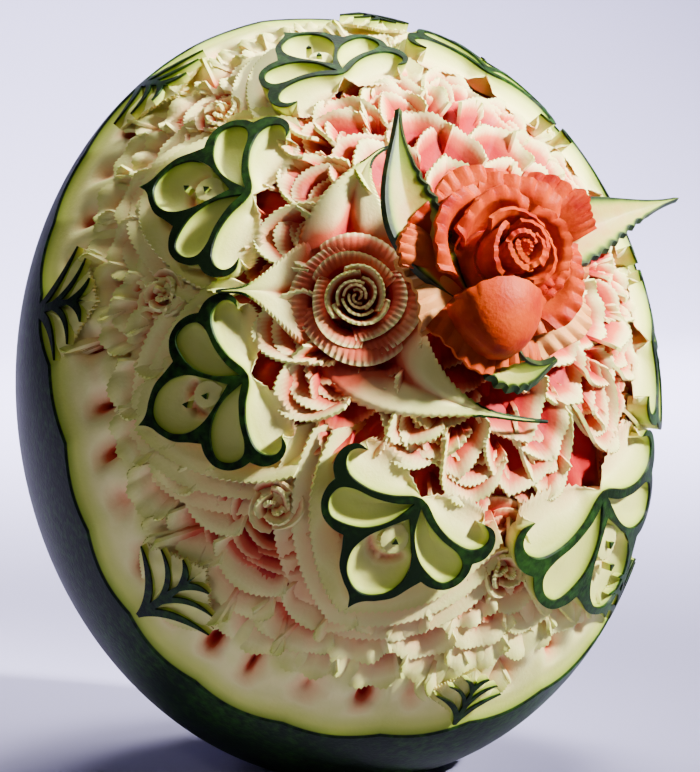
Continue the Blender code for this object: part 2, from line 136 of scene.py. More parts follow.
class MelonColours(bpy.types.PropertyGroup):
    """Colours of the skin and of the flesh at growing depths below it"""

    skin: colour("Skin", "#071603", "The smooth dark skin")
    skin_light: colour("Skin flecks", "#1F400E", "Flecks and faint bands of the skin")
    fringe: colour("Under the skin", "#869C2C", "Just below the skin")
    rind: colour("Rind", "#C3C95C", "The pale green rind")
    cream: colour("Cream", "#E8E08E", "Between the rind and the flesh")
    blush: colour("Blush", "#EBC684", "Where the flesh begins to colour")
    pink: colour("Pink", "#D5603E", "Outer flesh")
    red: colour("Red", "#A81A1E", "Heart of the flesh")
    rose: colour("Rose", "#A83202", "Flesh of the red rose")
    # Painted shade: a darker red that stands in for shadow on the red rose, laid on in random patches
    rose_painted_shade: colour("Rose, deep", "#8C1204", "The red rose between its petals")


class Plan:
    """The flat plan of the carving, and where each place on it lies on the melon."""

    def __init__(self, sizes):
        self.long, self.round = sizes.long_half, sizes.round_half
        up = Vector((0, 0, 1))
        self.axis = Vector((-math.tan(sizes.lean_left), math.tan(sizes.lean_back), 1)).normalized()
        low = self.round**2 * up + (self.long**2 - self.round**2) * self.axis.z * self.axis
        half_height = math.sqrt(low.z)
        self.centre = low / half_height * (1 - sizes.foot / half_height)
        look = Vector((0, -math.cos(math.radians(20)), math.sin(math.radians(20))))
        along = look.dot(self.axis)
        self.out = ((look - along * self.axis) / self.round + along * self.axis / self.long).normalized()
        self.up = (self.axis - self.axis.dot(self.out) * self.out).normalized()
        self.right = self.up.cross(self.out)
        self.rim = sizes.rim_reach / MM

    def at_ball(self, ball, height=0.0):
        """The point at a place on the melon shrunk to a ball, height millimetres above the skin."""
        along = ball.dot(self.axis)
        across = ball - along * self.axis
        point = self.centre + across * self.round + along * self.long * self.axis
        return point + (across / self.round + along / self.long * self.axis).normalized() * (height * MM)

    def turn(self, x, y):
        return math.hypot(x * MM / self.round, y * MM / self.long)

    def at(self, x, y, height=0.0):
        """The real place of one on the plan."""
        turn = self.turn(x, y)
        if turn < 1e-9:
            return self.at_ball(self.out, height)
        side = self.right * (x * MM / self.round) + self.up * (y * MM / self.long)
        return self.at_ball(self.out * math.cos(turn) + side / turn * math.sin(turn), height)

    def rim_reach(self, angle):
        """From the flower's middle to the carving's edge, with its shallow scallops, at an angle."""
        reach = self.rim
        for out, bearing, width in EDGE_SWELLS:
            reach += out * swell(angle, bearing, width)
        return reach + 3.0 * abs(math.sin(angle * 14))


def swell(angle, bearing, width):
    """A hill one high at a bearing, in degrees, round the flower's middle."""
    off = (math.degrees(angle) - bearing + 180) % 360 - 180
    return math.exp(-((off / width) ** 2))


def smooth(edge0, edge1, value):
    """0 before edge0, 1 after edge1, and eased between them."""
    t = min(1.0, max(0.0, (value - edge0) / (edge1 - edge0)))
    return t * t * (3 - 2 * t)


def polar(angle, reach):
    """A place on the plan, by its bearing in degrees and its distance from the flower's middle."""
    turn = math.radians(angle)
    return FLOWER[0] + reach * math.cos(turn), FLOWER[1] + reach * math.sin(turn)


def motif(inner, outer, own_length):
    """Turns a motif's own (u, v), u along it and v across, into a place on the plan."""
    inner, outer = Vector(inner), Vector(outer)
    scale = (outer - inner).length / own_length
    ahead = (outer - inner).normalized() * scale
    side = Vector((-ahead.y, ahead.x))
    return lambda u, v: inner + ahead * u + side * v


# Meshes and materials


def new_mesh():
    """An empty mesh whose points carry how much riper, in mm of depth, the flesh is than its depth says."""
    built = bmesh.new()
    built.verts.layers.float.new("ripe")
    return built


def add_leaf(built, across, along, place, ripe=None):
    """Adds a grid whose corners are put by place(a, q), a from -1 to 1 and q from 0 to 1."""
    made = bmesh.ops.create_grid(built, x_segments=across, y_segments=along, size=1)["verts"]
    layer = built.verts.layers.float.get("ripe")
    for vertex in made:
        a, q = vertex.co.x, (vertex.co.y + 1) / 2
        vertex.co = place(a, q)
        if ripe:
            vertex[layer] = ripe(a, q)
    return made


def smooth_line(points, steps):
    """Points along a smooth line through the given ones, without the last of them."""
    ends = [points[0], *points, points[-1]]
    made = []
    for index in range(len(points) - 1):
        a, b, c, d = (Vector(p) for p in ends[index : index + 4])
        for step in range(steps):
            t = step / steps
            square, cube = 2 * a - 5 * b + 4 * c - d, 3 * b - a - 3 * c + d
            made.append(0.5 * (2 * b + (c - a) * t + square * t**2 + cube * t**3))
    return made


def faces_of(verts):
    """Every face that touches the given points, once each and always in the same order."""
    return list(dict.fromkeys(face for vertex in verts for face in vertex.link_faces))


def face_towards(faces, out):
    """Turns faces over where they look away from a direction."""
    for face in faces:
        face.normal_update()
        if face.normal.dot(out) < 0:
            face.normal_flip()


def piece(context, name, built, node, slot, materials, wall=0.0, sharp=50, offset=0.0, back=0):
    """Finishes a piece: gives its leaves a wall, shades it, and sets it in the frame in place of a node.

    back is 1 where the far side of the leaves takes the second of two materials.
    """
    mesh = bpy.data.meshes.new(name)
    built.to_mesh(mesh)
    built.free()
    made = bpy.data.objects.new(name, mesh)
    context.scene.collection.objects.link(made)
    for material in materials:
        mesh.materials.append(material)
    if wall:
        shell = made.modifiers.new("wall", "SOLIDIFY")
        shell.thickness = wall
        shell.offset = offset
        shell.material_offset = back
        graph = context.evaluated_depsgraph_get()
        made.data = bpy.data.meshes.new_from_object(made.evaluated_get(graph))
        made.modifiers.clear()
    made.data.shade_smooth()
    made.data.set_sharp_from_angle(angle=math.radians(sharp))
    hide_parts(node)
    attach(made, "root")
    return made


def node(tree, kind, links=(), stops=(), **settings):
    """Adds a shader node with its settings and, on a colour ramp, its stops of (position, linear colour).

    kind is its type without the ShaderNode in front. links pairs each input with its value or with what
    feeds it, where a node stands for its first output.
    """
    made = tree.nodes.new("ShaderNode" + kind)
    for key, value in settings.items():
        setattr(made, key, value)
    for socket, source in links:
        if isinstance(source, bpy.types.Node):
            source = source.outputs[0]
        if isinstance(source, bpy.types.NodeSocket):
            tree.links.new(source, made.inputs[socket])
        else:
            made.inputs[socket].default_value = source
    if stops:
        bar = made.color_ramp.elements
        while len(bar) < len(stops):
            bar.new(0.5)
        for element, (position, tint) in zip(bar, stops):
            element.position = position
            element.color = (*tint, 1)
    return made


def finish(name, looks, tint=None, grain=None):
    """The material of a name, made when it is first asked for.

    looks fill the shader's own sockets, tint(tree, spot) adds the nodes of its colour, and grain is how
    many grains there are to a metre, how strongly they show, and how deep they are.
    """
    found = bpy.data.materials.get(name)
    if found:
        return found
    made = bpy.data.materials.new(name)
    made.use_nodes = True
    tree = made.node_tree
    shader = tree.nodes["Principled BSDF"]
    for socket, value in looks.items():
        shader.inputs[socket].default_value = value
    if tint:
        spot = node(tree, "TexCoord").outputs["Object"]
        tree.links.new(tint(tree, spot), shader.inputs["Base Color"])
    if grain:
        count, strength, deep = grain
        rough = node(tree, "TexNoise", [("Vector", spot), ("Scale", count), ("Detail", 3.0)])
        bump = node(tree, "Bump", [("Height", rough), ("Strength", strength), ("Distance", deep)])
        tree.links.new(bump.outputs["Normal"], shader.inputs["Normal"])
    return made


def depth_below_skin(tree, plan, spot):
    """How deep a spot is below the melon's first skin, in millimetres."""
    off = node(tree, "VectorMath", [(0, spot), (1, plan.centre)], operation="SUBTRACT")
    along, whole = (
        node(tree, "VectorMath", [(0, off), (1, other)], operation="DOT_PRODUCT").outputs["Value"]
        for other in (plan.axis, off)
    )
    along2 = node(tree, "Math", [(0, along), (1, along)], operation="MULTIPLY")
    across2 = node(tree, "Math", [(0, whole), (1, along2)], operation="SUBTRACT")

    def share(power):
        first = node(tree, "Math", [(0, along2), (1, plan.long**-power)], operation="MULTIPLY")
        second = node(tree, "Math", [(0, across2), (1, plan.round**-power)], operation="MULTIPLY")
        both = node(tree, "Math", [(0, first), (1, second)], operation="ADD")
        return node(tree, "Math", [(0, both)], operation="SQRT")

    level = share(2)
    slope = node(tree, "Math", [(0, share(4)), (1, level)], operation="DIVIDE")
    inside = node(tree, "Math", [(0, 1.0), (1, level)], operation="SUBTRACT")
    metres = node(tree, "Math", [(0, inside), (1, slope)], operation="DIVIDE")
    return node(tree, "Math", [(0, metres), (1, 1 / MM)], operation="MULTIPLY")


def cut_melon(context):
    """Freshly cut watermelon: waxy skin, then crisp, wet, faintly translucent rind and flesh, by depth."""
    tints = context.scene.melon_colours
    plan = Plan(context.scene.melon_sizes)

    def tint(tree, spot):
        ripe = node(tree, "Attribute", attribute_name="ripe").outputs["Fac"]
        below = depth_below_skin(tree, plan, spot)
        depth = node(tree, "Math", [(0, below), (1, ripe)], operation="ADD")
        # The layers wander by a few millimetres, in patches about 15 mm wide, but not just under the skin
        wander = node(tree, "TexNoise", [("Vector", spot), ("Scale", 65.0), ("Detail", 3.0)])
        centred = node(tree, "Math", [(0, wander), (1, 0.5)], operation="SUBTRACT")
        shift = node(tree, "Math", [(0, centred), (1, 7.0)], operation="MULTIPLY")
        gate = node(tree, "MapRange", [("Value", depth), ("From Min", 2.0), ("From Max", 9.0)])
        shifted = node(tree, "Math", [(0, shift), (1, gate)], operation="MULTIPLY")
        wandered = node(tree, "Math", [(0, depth), (1, shifted)], operation="ADD")
        share = node(tree, "Math", [(0, wandered), (1, LAYERS_DEPTH)], operation="DIVIDE")
        flesh = node(tree, "ValToRGB", [("Fac", share)], [
            (deep / LAYERS_DEPTH, tuple(getattr(tints, layer))) for deep, layer in LAYERS
        ])
        # Skin: dark, with flecks about 3 mm apart and broad faint bands
        flecks = node(tree, "TexNoise", [("Vector", spot), ("Scale", 300.0), ("Detail", 4.0)])
        bands = node(tree, "TexNoise", [("Vector", spot), ("Scale", 22.0), ("Detail", 5.0)])
        mottle = node(tree, "Math", [(0, flecks), (1, bands)], operation="MULTIPLY")
        skin = node(tree, "ValToRGB", [("Fac", mottle)], [
            (0.22, tuple(tints.skin)), (0.42, tuple(tints.skin_light)),
        ])
        under = node(tree, "MapRange", [("Value", depth), ("From Min", 0.7), ("From Max", 1.0)])
        mixed = node(tree, "Mix", [(0, under), (6, skin), (7, flesh)], data_type="RGBA")
        return mixed.outputs[2]

    # Crisp flesh breaks into grains about a millimetre across
    return finish("cut_watermelon", {
        "Roughness": 0.5, "IOR": 1.36, "Specular IOR Level": 0.2, "Subsurface Weight": 0.18,
        "Subsurface Radius": (1.0, 0.6, 0.35), "Subsurface Scale": 0.003,
    }, tint, (700.0, 0.25, 0.0006))


def red_flesh(context):
    """Riper watermelon heart, cut wet: grainy and orange-red, with painted shade and painted highlight laid
    on in random patches.
    """
    tints = context.scene.melon_colours

    def tint(tree, spot):
        # Patches about 11 mm wide run from painted shade through the rose's own red to a painted highlight
        patches = node(tree, "TexNoise", [("Vector", spot), ("Scale", 90.0), ("Detail", 4.0)])
        flesh = node(tree, "ValToRGB", [("Fac", patches)], [
            (0.3, tuple(tints.rose_painted_shade)), (0.5, tuple(tints.rose)), (0.8, linear("#BC480C")),
        ])
        # The outermost petals are cut from paler flesh
        pale = node(tree, "Attribute", attribute_name="ripe").outputs["Fac"]
        paler = (*linear("#DC9C56"), 1.0)
        mixed = node(tree, "Mix", [(0, pale), (6, flesh), (7, paler)], data_type="RGBA")
        return mixed.outputs[2]

    return finish("ripe_heart", {
        "Roughness": 0.48, "IOR": 1.36, "Specular IOR Level": 0.15, "Subsurface Weight": 0.12,
        "Subsurface Radius": (1.0, 0.35, 0.2), "Subsurface Scale": 0.003,
    }, tint, (600.0, 0.35, 0.0007))


def scraped_rind():
    """Rind scraped clean on its inner side: wet and fibrous, orange near the flesh, green at cut edges."""

    def tint(tree, spot):
        green = node(tree, "Attribute", attribute_name="ripe").outputs["Fac"]
        # The colours run in streaks about 6 mm wide
        streaks = node(tree, "TexNoise", [("Vector", spot), ("Scale", 160.0), ("Detail", 3.0)])
        centred = node(tree, "Math", [(0, streaks), (1, 0.5)], operation="SUBTRACT")
        shift = node(tree, "Math", [(0, centred), (1, 0.25)], operation="MULTIPLY")
        share = node(tree, "Math", [(0, green), (1, shift)], operation="ADD")
        rind = node(tree, "ValToRGB", [("Fac", share)], [
            (0.0, linear("#A82C0A")), (0.22, linear("#BC561C")), (0.45, linear("#B8A446")),
            (0.66, linear("#8C9A30")), (0.84, linear("#5E7414")), (1.0, linear("#12280A")),
        ])
        return rind.outputs["Color"]

    return finish("scraped_rind", {
        "Roughness": 0.5, "IOR": 1.36, "Subsurface Weight": 0.15,
        "Subsurface Radius": (1.0, 0.7, 0.35), "Subsurface Scale": 0.002,
    }, tint, (700.0, 0.25, 0.0005))


def waxy_skin(context):
    """The melon's own skin on the back of a loose leaf: dark, waxy, with paler flecks 3 mm apart."""
    skin = tuple(context.scene.melon_colours.skin)

    def tint(tree, spot):
        flecks = node(tree, "TexNoise", [("Vector", spot), ("Scale", 300.0), ("Detail", 4.0)])
        return node(tree, "ValToRGB", [("Fac", flecks)], [
            (0.4, skin), (0.62, linear("#35561E")),
        ]).outputs["Color"]

    return finish("waxy_skin", {"Roughness": 0.42}, tint)


def painted_backdrop():
    """Matt painted board, which shows soft shadows and no gloss."""
    return finish("painted_backdrop", {"Base Color": (*linear("#ABA6CC"), 1), "Roughness": 0.9})


# Petals


def teeth(share, count):
    """The saw edge of a rim: how far in it cuts, from 0 to 1, at a share of the way round."""
    rise = 0.6
    phase = (share * count) % 1.0
    return phase / rise if phase < rise else (1 - phase) / (1 - rise)


class Fan:
    """A broad petal from a root to a rounded or pointed saw-toothed rim, cut by an operator.

    heights are those of root and rim, shoulder the share of its length where its sides end, point the
    share its tip adds, cup how far its sides rise above its middle, ripe how ripe its rim and root are,
    first the share of its length, hidden under its neighbours, where it begins, and steep how late it
    rises. One side may be tilted above the other.
    """

    def __init__(
        self, cutter, root, tip, root_half, half_width, heights,
        shoulder=0.4, point=0.0, cup=1.0, ripe=(0.0, 6.0), first=0.0, rows=12, tooth=1.0, steep=1.6,
    ):
        self.plan, self.root = cutter.plan, Vector(root)
        self.length = (Vector(tip) - self.root).length
        self.ahead = (Vector(tip) - self.root) / self.length
        self.side = Vector((-self.ahead.y, self.ahead.x))
        self.root_half, self.half_width, self.heights = root_half, half_width, heights
        self.shoulder, self.point, self.cup = shoulder, point, cup
        around = math.pi * math.sqrt((half_width**2 + (self.length * (1 - shoulder)) ** 2) / 2)
        self.count = max(6, round(around / (cutter.sizes.tooth / MM * tooth)))
        self.depth = cutter.sizes.tooth_depth / MM * tooth
        knife = cutter.knife
        self.wave = [knife.uniform(0.5, 1.5), knife.uniform(0, 6.3), knife.uniform(1.5, 4.0)]
        self.far, self.near = ripe
        self.tilt = 0.0
        self.first, self.rows, self.steep = first, rows, steep

    def place(self, a, q):
        q = self.first + (1 - self.first) * q
        swing = a * math.pi / 2
        reach = self.shoulder + (1 - self.shoulder - self.point) * math.cos(swing)
        reach += self.point * (1 - abs(a)) ** 2.2
        rim = Vector((self.length * reach, self.half_width * math.sin(swing)))
        saw = teeth((a + 1) / 2, self.count)
        cut = self.depth * saw * smooth(0.7, 1.0, q)
        rim *= 1 - cut / self.length
        spot = Vector((0, self.root_half * a)).lerp(rim, q)
        low, high = self.heights
        height = low + (high - low) * q**self.steep + (self.cup * a + self.tilt) * a * q
        size, phase, turns = self.wave
        height += size * math.sin(turns * math.pi * a + phase) * q * q - 0.35 * saw * smooth(0.25, 0.9, q)
        height -= 1.0 * smooth(0.88, 1.0, q) ** 2
        flat = self.root + self.ahead * spot.x + self.side * spot.y
        return self.plan.at(flat.x, flat.y, height)

    def ripe(self, a, q):
        q = self.first + (1 - self.first) * q
        return self.far + (self.near - self.far) * (1 - q) ** 0.6

    def add(self, built):
        add_leaf(built, 2 * self.count, max(4, int(self.rows * FINE)), self.place, self.ripe)


def bend(points, share):
    """A place on the curve that three points steer."""
    a, b, c = (Vector(p) for p in points)
    return a * (1 - share) ** 2 + b * 2 * share * (1 - share) + c * share**2


def sideways(points, share):
    """The level direction across such a curve, to its left."""
    ahead = bend(points, min(1.0, share + 0.02)) - bend(points, max(0.0, share - 0.02))
    return Vector((-ahead.y, ahead.x, 0)[: len(ahead)]).normalized()


def sepal(plan, points, half_width):
    """A leaf broad at its root and long at its tip, creased along its midline, with saw-toothed edges."""

    def place(a, q):
        middle = bend(points, q)
        width = half_width * (1 - smooth(0.02, 0.82, q)) + 1.8 * (1 - q) ** 0.6
        width -= 1.1 * teeth(q, 30) * smooth(0.6, 1.0, abs(a)) * min(1.0, width / 5)
        spot = middle + sideways(points, q) * (a * width)
        share = min(1.0, width / half_width)
        height = spot.z + 2.5 * abs(a) ** 1.5 * share - 3.5 * math.exp(-((a / 0.2) ** 2)) * share
        return plan.at(spot.x, spot.y, height - 4.0 * smooth(0.9, 1.0, abs(a)) ** 2 * share)

    return place


def cup_petal(
    to_point, facing, half_arc, reaches, heights, droop=1.5, curl=0.0, jag=0.6, lean=0.8, count=14,
    belly=0.0, phase=0.0,
):
    """One petal of a rose: part of a cup round its axis. to_point takes (x, y, height) about that axis.

    droop lowers its corners, curl turns its rim out, lean lets one side pass over its neighbour,
    and belly rounds it outwards below the rim.
    """

    def place(a, q):
        saw = teeth((a + 1) / 2, count) * smooth(0.75, 1.0, q) * jag
        angle = facing + a * half_arc * (0.7 + 0.3 * math.sin(math.pi * (0.15 + 0.7 * q)))
        reach = reaches[0] + (reaches[1] - reaches[0]) * q**1.6 + lean * a + curl * smooth(0.75, 1.0, q) ** 2
        reach += belly * math.sin(math.pi * q) * (1 - a * a) + 0.05 * reaches[1] * math.sin(3 * a + phase) * q
        height = heights[0] + (heights[1] - heights[0]) * q - droop * abs(a) ** 2.2 * q - saw
        height -= 0.5 * curl * smooth(0.85, 1.0, q) ** 2
        return to_point(reach * math.cos(angle), reach * math.sin(angle), height)

    return place


# Operators, one for each piece or group of like pieces


class MelonOperator:
    """What the operators share: the sizes, the plan, a seeded knife, and how a carved piece is finished."""

    bl_options = {"REGISTER", "UNDO"}

    def start(self, context):
        self.sizes = context.scene.melon_sizes
        self.plan = Plan(self.sizes)
        self.knife = random.Random(self.sizes.seed)

    def carved_piece(self, context, name, built, wall=None, **settings):
        """Finishes a piece carved from the melon itself, as thick as a petal if no thickness is given."""
        wall = self.sizes.petal_wall if wall is None else wall
        piece(context, name, built, "melon", "melon", [cut_melon(context)], wall=wall, **settings)


class MELON_OT_body(MelonOperator, bpy.types.Operator):
    """The melon: dark skin behind, and in front the floor the carving stands on, with its scooped edge"""

    bl_idname = "melon.body"
    bl_label = "Melon"

    def execute(self, context):
        self.start(context)
        built = new_mesh()
        ripe = built.verts.layers.float["ripe"]
        around, along = int(504 * FINE), int(150 * FINE)
        carved = int(along * 0.68)  # Rows of the grid on the carved side
        made = bmesh.ops.create_grid(built, x_segments=around, y_segments=along, size=1)
        for vertex in made["verts"]:
            angle = (vertex.co.x + 1) * math.pi
            row = round((vertex.co.y + 1) / 2 * along)
            vertex[ripe] = self.ripe(angle, row / carved)
            vertex.co = self.carved(angle, row / carved) if row <= carved else self.skin(
                angle, (row - carved) / (along - carved)
            )
        for vertex in built.verts:
            vertex.co.z = max(0.0, vertex.co.z)
        bmesh.ops.remove_doubles(built, verts=built.verts, dist=1e-6)
        bmesh.ops.recalc_face_normals(built, faces=built.faces)
        self.carved_piece(context, "melon_body", built, wall=0.0, sharp=40)
        return {"FINISHED"}

    def carved(self, angle, share):
        """A place on the carved floor. Its rings lie closer together towards the edge."""
        rim = self.plan.rim_reach(angle)
        reach = rim * (1 - (1 - share) ** 1.6)
        x, y = FLOWER[0] + reach * math.cos(angle), FLOWER[1] + reach * math.sin(angle)
        return self.plan.at(x, y, self.floor(angle, reach, rim - reach) if share < 1 else 0.0)

    def hollow(self, angle):
        """1 in the middle of each of the edge band's 44 hollows, 0 between them."""
        wander = 1.3 * math.sin(3 * angle) + 0.8 * math.sin(11 * angle)
        return (0.5 + 0.5 * math.cos(44 * angle + wander)) * (0.91 + 0.09 * math.sin(19 * angle))

    def slit(self, angle, inside, start, end):
        """1 in the narrow slit in the middle of each hollow, which ends between two distances inside."""
        across = smooth(0.84, 0.99, self.hollow(angle))
        return across * smooth(14, 19, inside) * (1 - smooth(start, end, inside))

    def floor(self, angle, reach, inside):
        """The floor's height: the bevel down from the skin, a band of hollows, then deep under the flower."""
        bevel = -5.0 * (1 - math.exp(-inside / 5.5)) if inside > 0.3 else -inside
        scoop = -(0.8 + 5.5 * self.hollow(angle) ** 1.5) * smooth(8, 22, inside)
        slit = -9 * self.slit(angle, inside, 28, 34)
        deep = -6 * smooth(30, 50, inside) - 3 * (1 - smooth(45, 75, reach)) - 4 * self.sunk(angle, reach)
        rough = 1.2 * noise.noise(Vector((math.cos(angle) * reach, math.sin(angle) * reach, 0)) * 0.09)
        band = (scoop + slit) * (1 - 0.6 * smooth(35, 60, inside))
        return bevel + band + deep + rough * smooth(8, 20, inside)

    def sunk(self, angle, reach):
        """1 in the hollows that the small roses stand in."""
        far = SMALL_ROSE_REACH
        turns = [math.radians(gap) - angle for gap in GAPS]
        return max(
            math.exp(-(reach**2 + far**2 - 2 * far * reach * math.cos(turn)) / 21**2) for turn in turns
        )

    def ripe(self, angle, share):
        """Riper under the flower, round the small roses and in the slits of the edge band. Round the small
        roses this is partly their pinker flesh and partly painted shade in their hollows.
        """
        rim = self.plan.rim_reach(angle)
        inside = rim * (1 - share) ** 1.6 if share < 1 else 0.0
        slit = self.slit(angle, inside, 30, 36)
        blush = self.hollow(angle) ** 2 * smooth(8, 14, inside) * (1 - smooth(18, 24, inside))
        pale = 2.5 * smooth(24, 34, inside) - 1.5 * smooth(6, 12, inside)
        heart = 9 * (1 - smooth(0.33, 0.5, share))
        # Round the small roses the riper, redder floor is partly pink flesh and partly painted shade that
        # darkens their hollows
        return heart + 3 * slit + 3 * blush + 9 * self.sunk(angle, rim - inside) - pale

    def skin(self, angle, share):
        """A place on the skin behind the carving."""
        rim = self.plan.rim_reach(angle)
        x, y = FLOWER[0] + rim * math.cos(angle), FLOWER[1] + rim * math.sin(angle)
        start = self.plan.turn(x, y)
        turn = start + (math.pi - start) * share
        side = (self.plan.right * (x / self.plan.round) + self.plan.up * (y / self.plan.long)).normalized()
        return self.plan.at_ball(self.plan.out * math.cos(turn) + side * math.sin(turn))


# Half of a medallion's line work, in its own mm: the line beside the open lobe, from the corner to the
# hook, then the outside of the hook and of each arch as far as the point
LOBE_LINE = [
    (0, 0), (1.2, 4), (5.0, 10.8), (7.2, 18), (7.5, 24.5), (6.4, 29.6), (3.4, 33),
    (-0.6, 34), (-3.6, 32), (-5.0, 28),
]
ARCHES = [
    [(-5.0, 28), (-5.4, 32.5), (-3.0, 36), (1.5, 37.6), (6.4, 36.8), (10.4, 33.6)],
    [(10.4, 33.6), (14.8, 34.6), (20.4, 33.6), (25.2, 29.8), (27.4, 24), (27.4, 19)],
    [(27.4, 19), (32, 16.6), (38.6, 13.4), (43.4, 8.2), (46, 4.2), (48.6, 1.7), (52, 0)],
]
# The edges of the side cell, of half the heart cell and of the open lobe
SIDE_CELL = [
    (2.9, 1.3), (6.6, 7.5), (9.2, 16.4), (10.1, 25.2), (12.7, 30.4), (18.1, 31.4),
    (23.1, 28.1), (23.7, 21.9), (20.8, 13.1), (13.5, 5.6),
]
HALF_HEART = [(8.8, 0.0), (16.0, 5.7), (23.3, 10.6), (31.1, 12.5), (38.4, 10.1), (42.8, 5.0), (44.2, 0.0)]
HEART_CELL = HALF_HEART[:-1] + [(u, -v) for u, v in reversed(HALF_HEART)][:-1]
LOBE_RIM = [(0, 0), (-6, 8), (-10.5, 17), (-11.5, 25), (-9, 29.5), (-5.0, 28)]
LOBE_TEETH = 18
# A bowl's rings, from its edge to its middle: each one's size and depth, as shares
BOWL_RINGS = [
    (1.0, 0.0), (0.95, 0.38), (0.86, 0.62), (0.72, 0.82),
    (0.55, 0.94), (0.36, 1.0), (0.18, 0.98), (0.0, 0.95),
]


class MELON_OT_medallions(MelonOperator, bpy.types.Operator):
    """The lotus medallions: rounded cells sunk between standing lines of dark skin"""

    bl_idname = "melon.medallions"
    bl_label = "Medallions"

    def execute(self, context):
        self.start(context)
        built = new_mesh()
        for index, ends in enumerate(MEDALLIONS):
            self.to_flat = motif(*ends, MEDALLION_LENGTH)
            self.lines(built)
            self.bowl(built, HEART_CELL, (28, 0), 5.4)
            for hand in (1, -1):
                # The mirrored cell runs the other way round, so that its faces still look out
                cell = [(u, v * hand) for u, v in SIDE_CELL]
                self.bowl(built, cell if hand > 0 else cell[:1] + cell[:0:-1], (15.6, 20.2 * hand), 4.4)
                self.lobe(built, hand)
            self.bud(built, 1 if index == 2 else 2)
        self.carved_piece(context, "medallions", built, wall=0.0, sharp=35)
        return {"FINISHED"}

    def lift(self, verts):
        """Takes points from the medallion's own (u, v, height) in mm to their places on the melon."""
        for vertex in verts:
            flat = self.to_flat(vertex.co.x, vertex.co.y)
            vertex.co = self.plan.at(flat.x, flat.y, vertex.co.z)

    def lines(self, built):
        """The standing lines: a sheet of skin with its cells cut out, and the walls down from its edge."""
        fine = max(2, int(6 * FINE))
        rim = [(p.x, p.y) for line in (LOBE_LINE, *ARCHES) for p in smooth_line(line, fine)]
        edge = rim + [ARCHES[-1][-1]] + [(u, -v) for u, v in reversed(rim[1:])]
        cells = [HEART_CELL] + [[(u, v * hand) for u, v in SIDE_CELL] for hand in (1, -1)]
        loops = []
        for points in (edge, *(self.cell_edge(cell, fine) for cell in cells)):
            ring = bmesh.ops.create_circle(built, segments=len(points), radius=1)["verts"]
            for vertex, (u, v) in zip(ring, points):
                vertex.co = (u, v, 0)
            loops.append(ring)
        edges = list(dict.fromkeys(e for ring in loops for v in ring for e in v.link_edges))
        filled = bmesh.ops.triangle_fill(built, use_beauty=True, edges=edges, normal=(0, 0, 1))["geom"]
        face_towards([g for g in filled if isinstance(g, bmesh.types.BMFace)], Vector((0, 0, 1)))
        outer = list(dict.fromkeys(e for v in loops[0] for e in v.link_edges if len(e.link_faces) == 1))
        wall = bmesh.ops.extrude_edge_only(built, edges=outer)["geom"]
        foot = [g for g in wall if isinstance(g, bmesh.types.BMVert)]
        for vertex in foot:
            vertex.co = Vector((17 + (vertex.co.x - 17) * 0.97, vertex.co.y * 0.97, -9))
        self.lift([v for ring in loops for v in ring] + foot)

    def cell_edge(self, points, fine):
        """A cell's edge as a smooth closed line."""
        return [(p.x, p.y) for p in smooth_line([*points, points[0]], fine)]

    def bowl(self, built, points, middle, deep):
        """The scooped floor of a closed cell, with a ring of deeper, riper flesh round the heart's bud."""
        edge = [Vector(p) for p in self.cell_edge(points, max(2, int(6 * FINE)))]
        middle = Vector(middle)
        ripe = built.verts.layers.float["ripe"]
        rings = len(BOWL_RINGS) - 1
        made = bmesh.ops.create_grid(built, x_segments=len(edge), y_segments=rings, size=1)["verts"]
        for vertex in made:
            around = round((vertex.co.x + 1) / 2 * len(edge)) % len(edge)
            share, depth = BOWL_RINGS[round((vertex.co.y + 1) / 2 * rings)]
            spot = middle.lerp(edge[around], share)
            near = math.exp(-(((spot - Vector((21, 0))).length - 8.2) / 2.6) ** 2) * smooth(19, 25, spot.x)
            hollow = near * (abs(middle.y) < 1)
            vertex.co = Vector((spot.x, spot.y, -deep * depth - 3.0 * hollow))
            vertex[ripe] = 5.0 * hollow
        bmesh.ops.remove_doubles(built, verts=made, dist=1e-5)
        made = [v for v in made if v.is_valid]
        face_towards(faces_of(made), Vector((0, 0, 1)))
        self.lift(made)

    def lobe(self, built, hand):
        """The open lobe beside a line: flesh that dips from the line and ends in a saw-toothed rim."""
        line = smooth_line(LOBE_LINE, 6) + [Vector(LOBE_LINE[-1])]
        rim = smooth_line(LOBE_RIM, 10) + [Vector(LOBE_RIM[-1])]
        wave = self.knife.uniform(0, 6)

        def place(a, q):
            t = (a + 1) / 2
            near = line[round(t * (len(line) - 1))]
            far = rim[round(t * (len(rim) - 1))]
            saw = teeth(t, LOBE_TEETH) * smooth(0.7, 1, q)
            spot = near.lerp(far, q * (1 - 0.12 * saw))
            width = min(1.0, (far - near).length / 8)
            height = -(1.5 * smooth(0, 0.05, q) + 5.0 * math.sin(math.pi * min(1.0, q * 0.78)) * width)
            height += 0.5 * math.sin(9 * t + wave) * q - 0.9 * smooth(0.85, 1, q) ** 2
            flat = self.to_flat(spot.x, spot.y * hand)
            return self.plan.at(flat.x, flat.y, height)

        made = add_leaf(built, 3 * LOBE_TEETH, max(5, int(14 * FINE)), place, lambda a, q: 5.5 * q**1.5)
        if hand > 0:
            bmesh.ops.reverse_faces(built, faces=faces_of(made))

    def bud(self, built, marks):
        """The small saw-toothed petal in the heart cell, with one or two bits of skin left on it."""

        def place(a, q):
            swing = a * math.pi * 0.8
            rim = Vector((20.0 + 6.8 * math.cos(swing), 6.4 * math.sin(swing)))
            root = Vector((13.0, 0.6 * a))
            spot = root.lerp(rim, q * (1 - 0.09 * teeth((a + 1) / 2, 16) * smooth(0.7, 1, q)))
            height = -4.4 + 2.6 * math.sin(math.pi * (0.1 + 0.55 * q)) - 3.4 * smooth(0.88, 1, q)
            flat = self.to_flat(spot.x, spot.y)
            return self.plan.at(flat.x, flat.y, height)

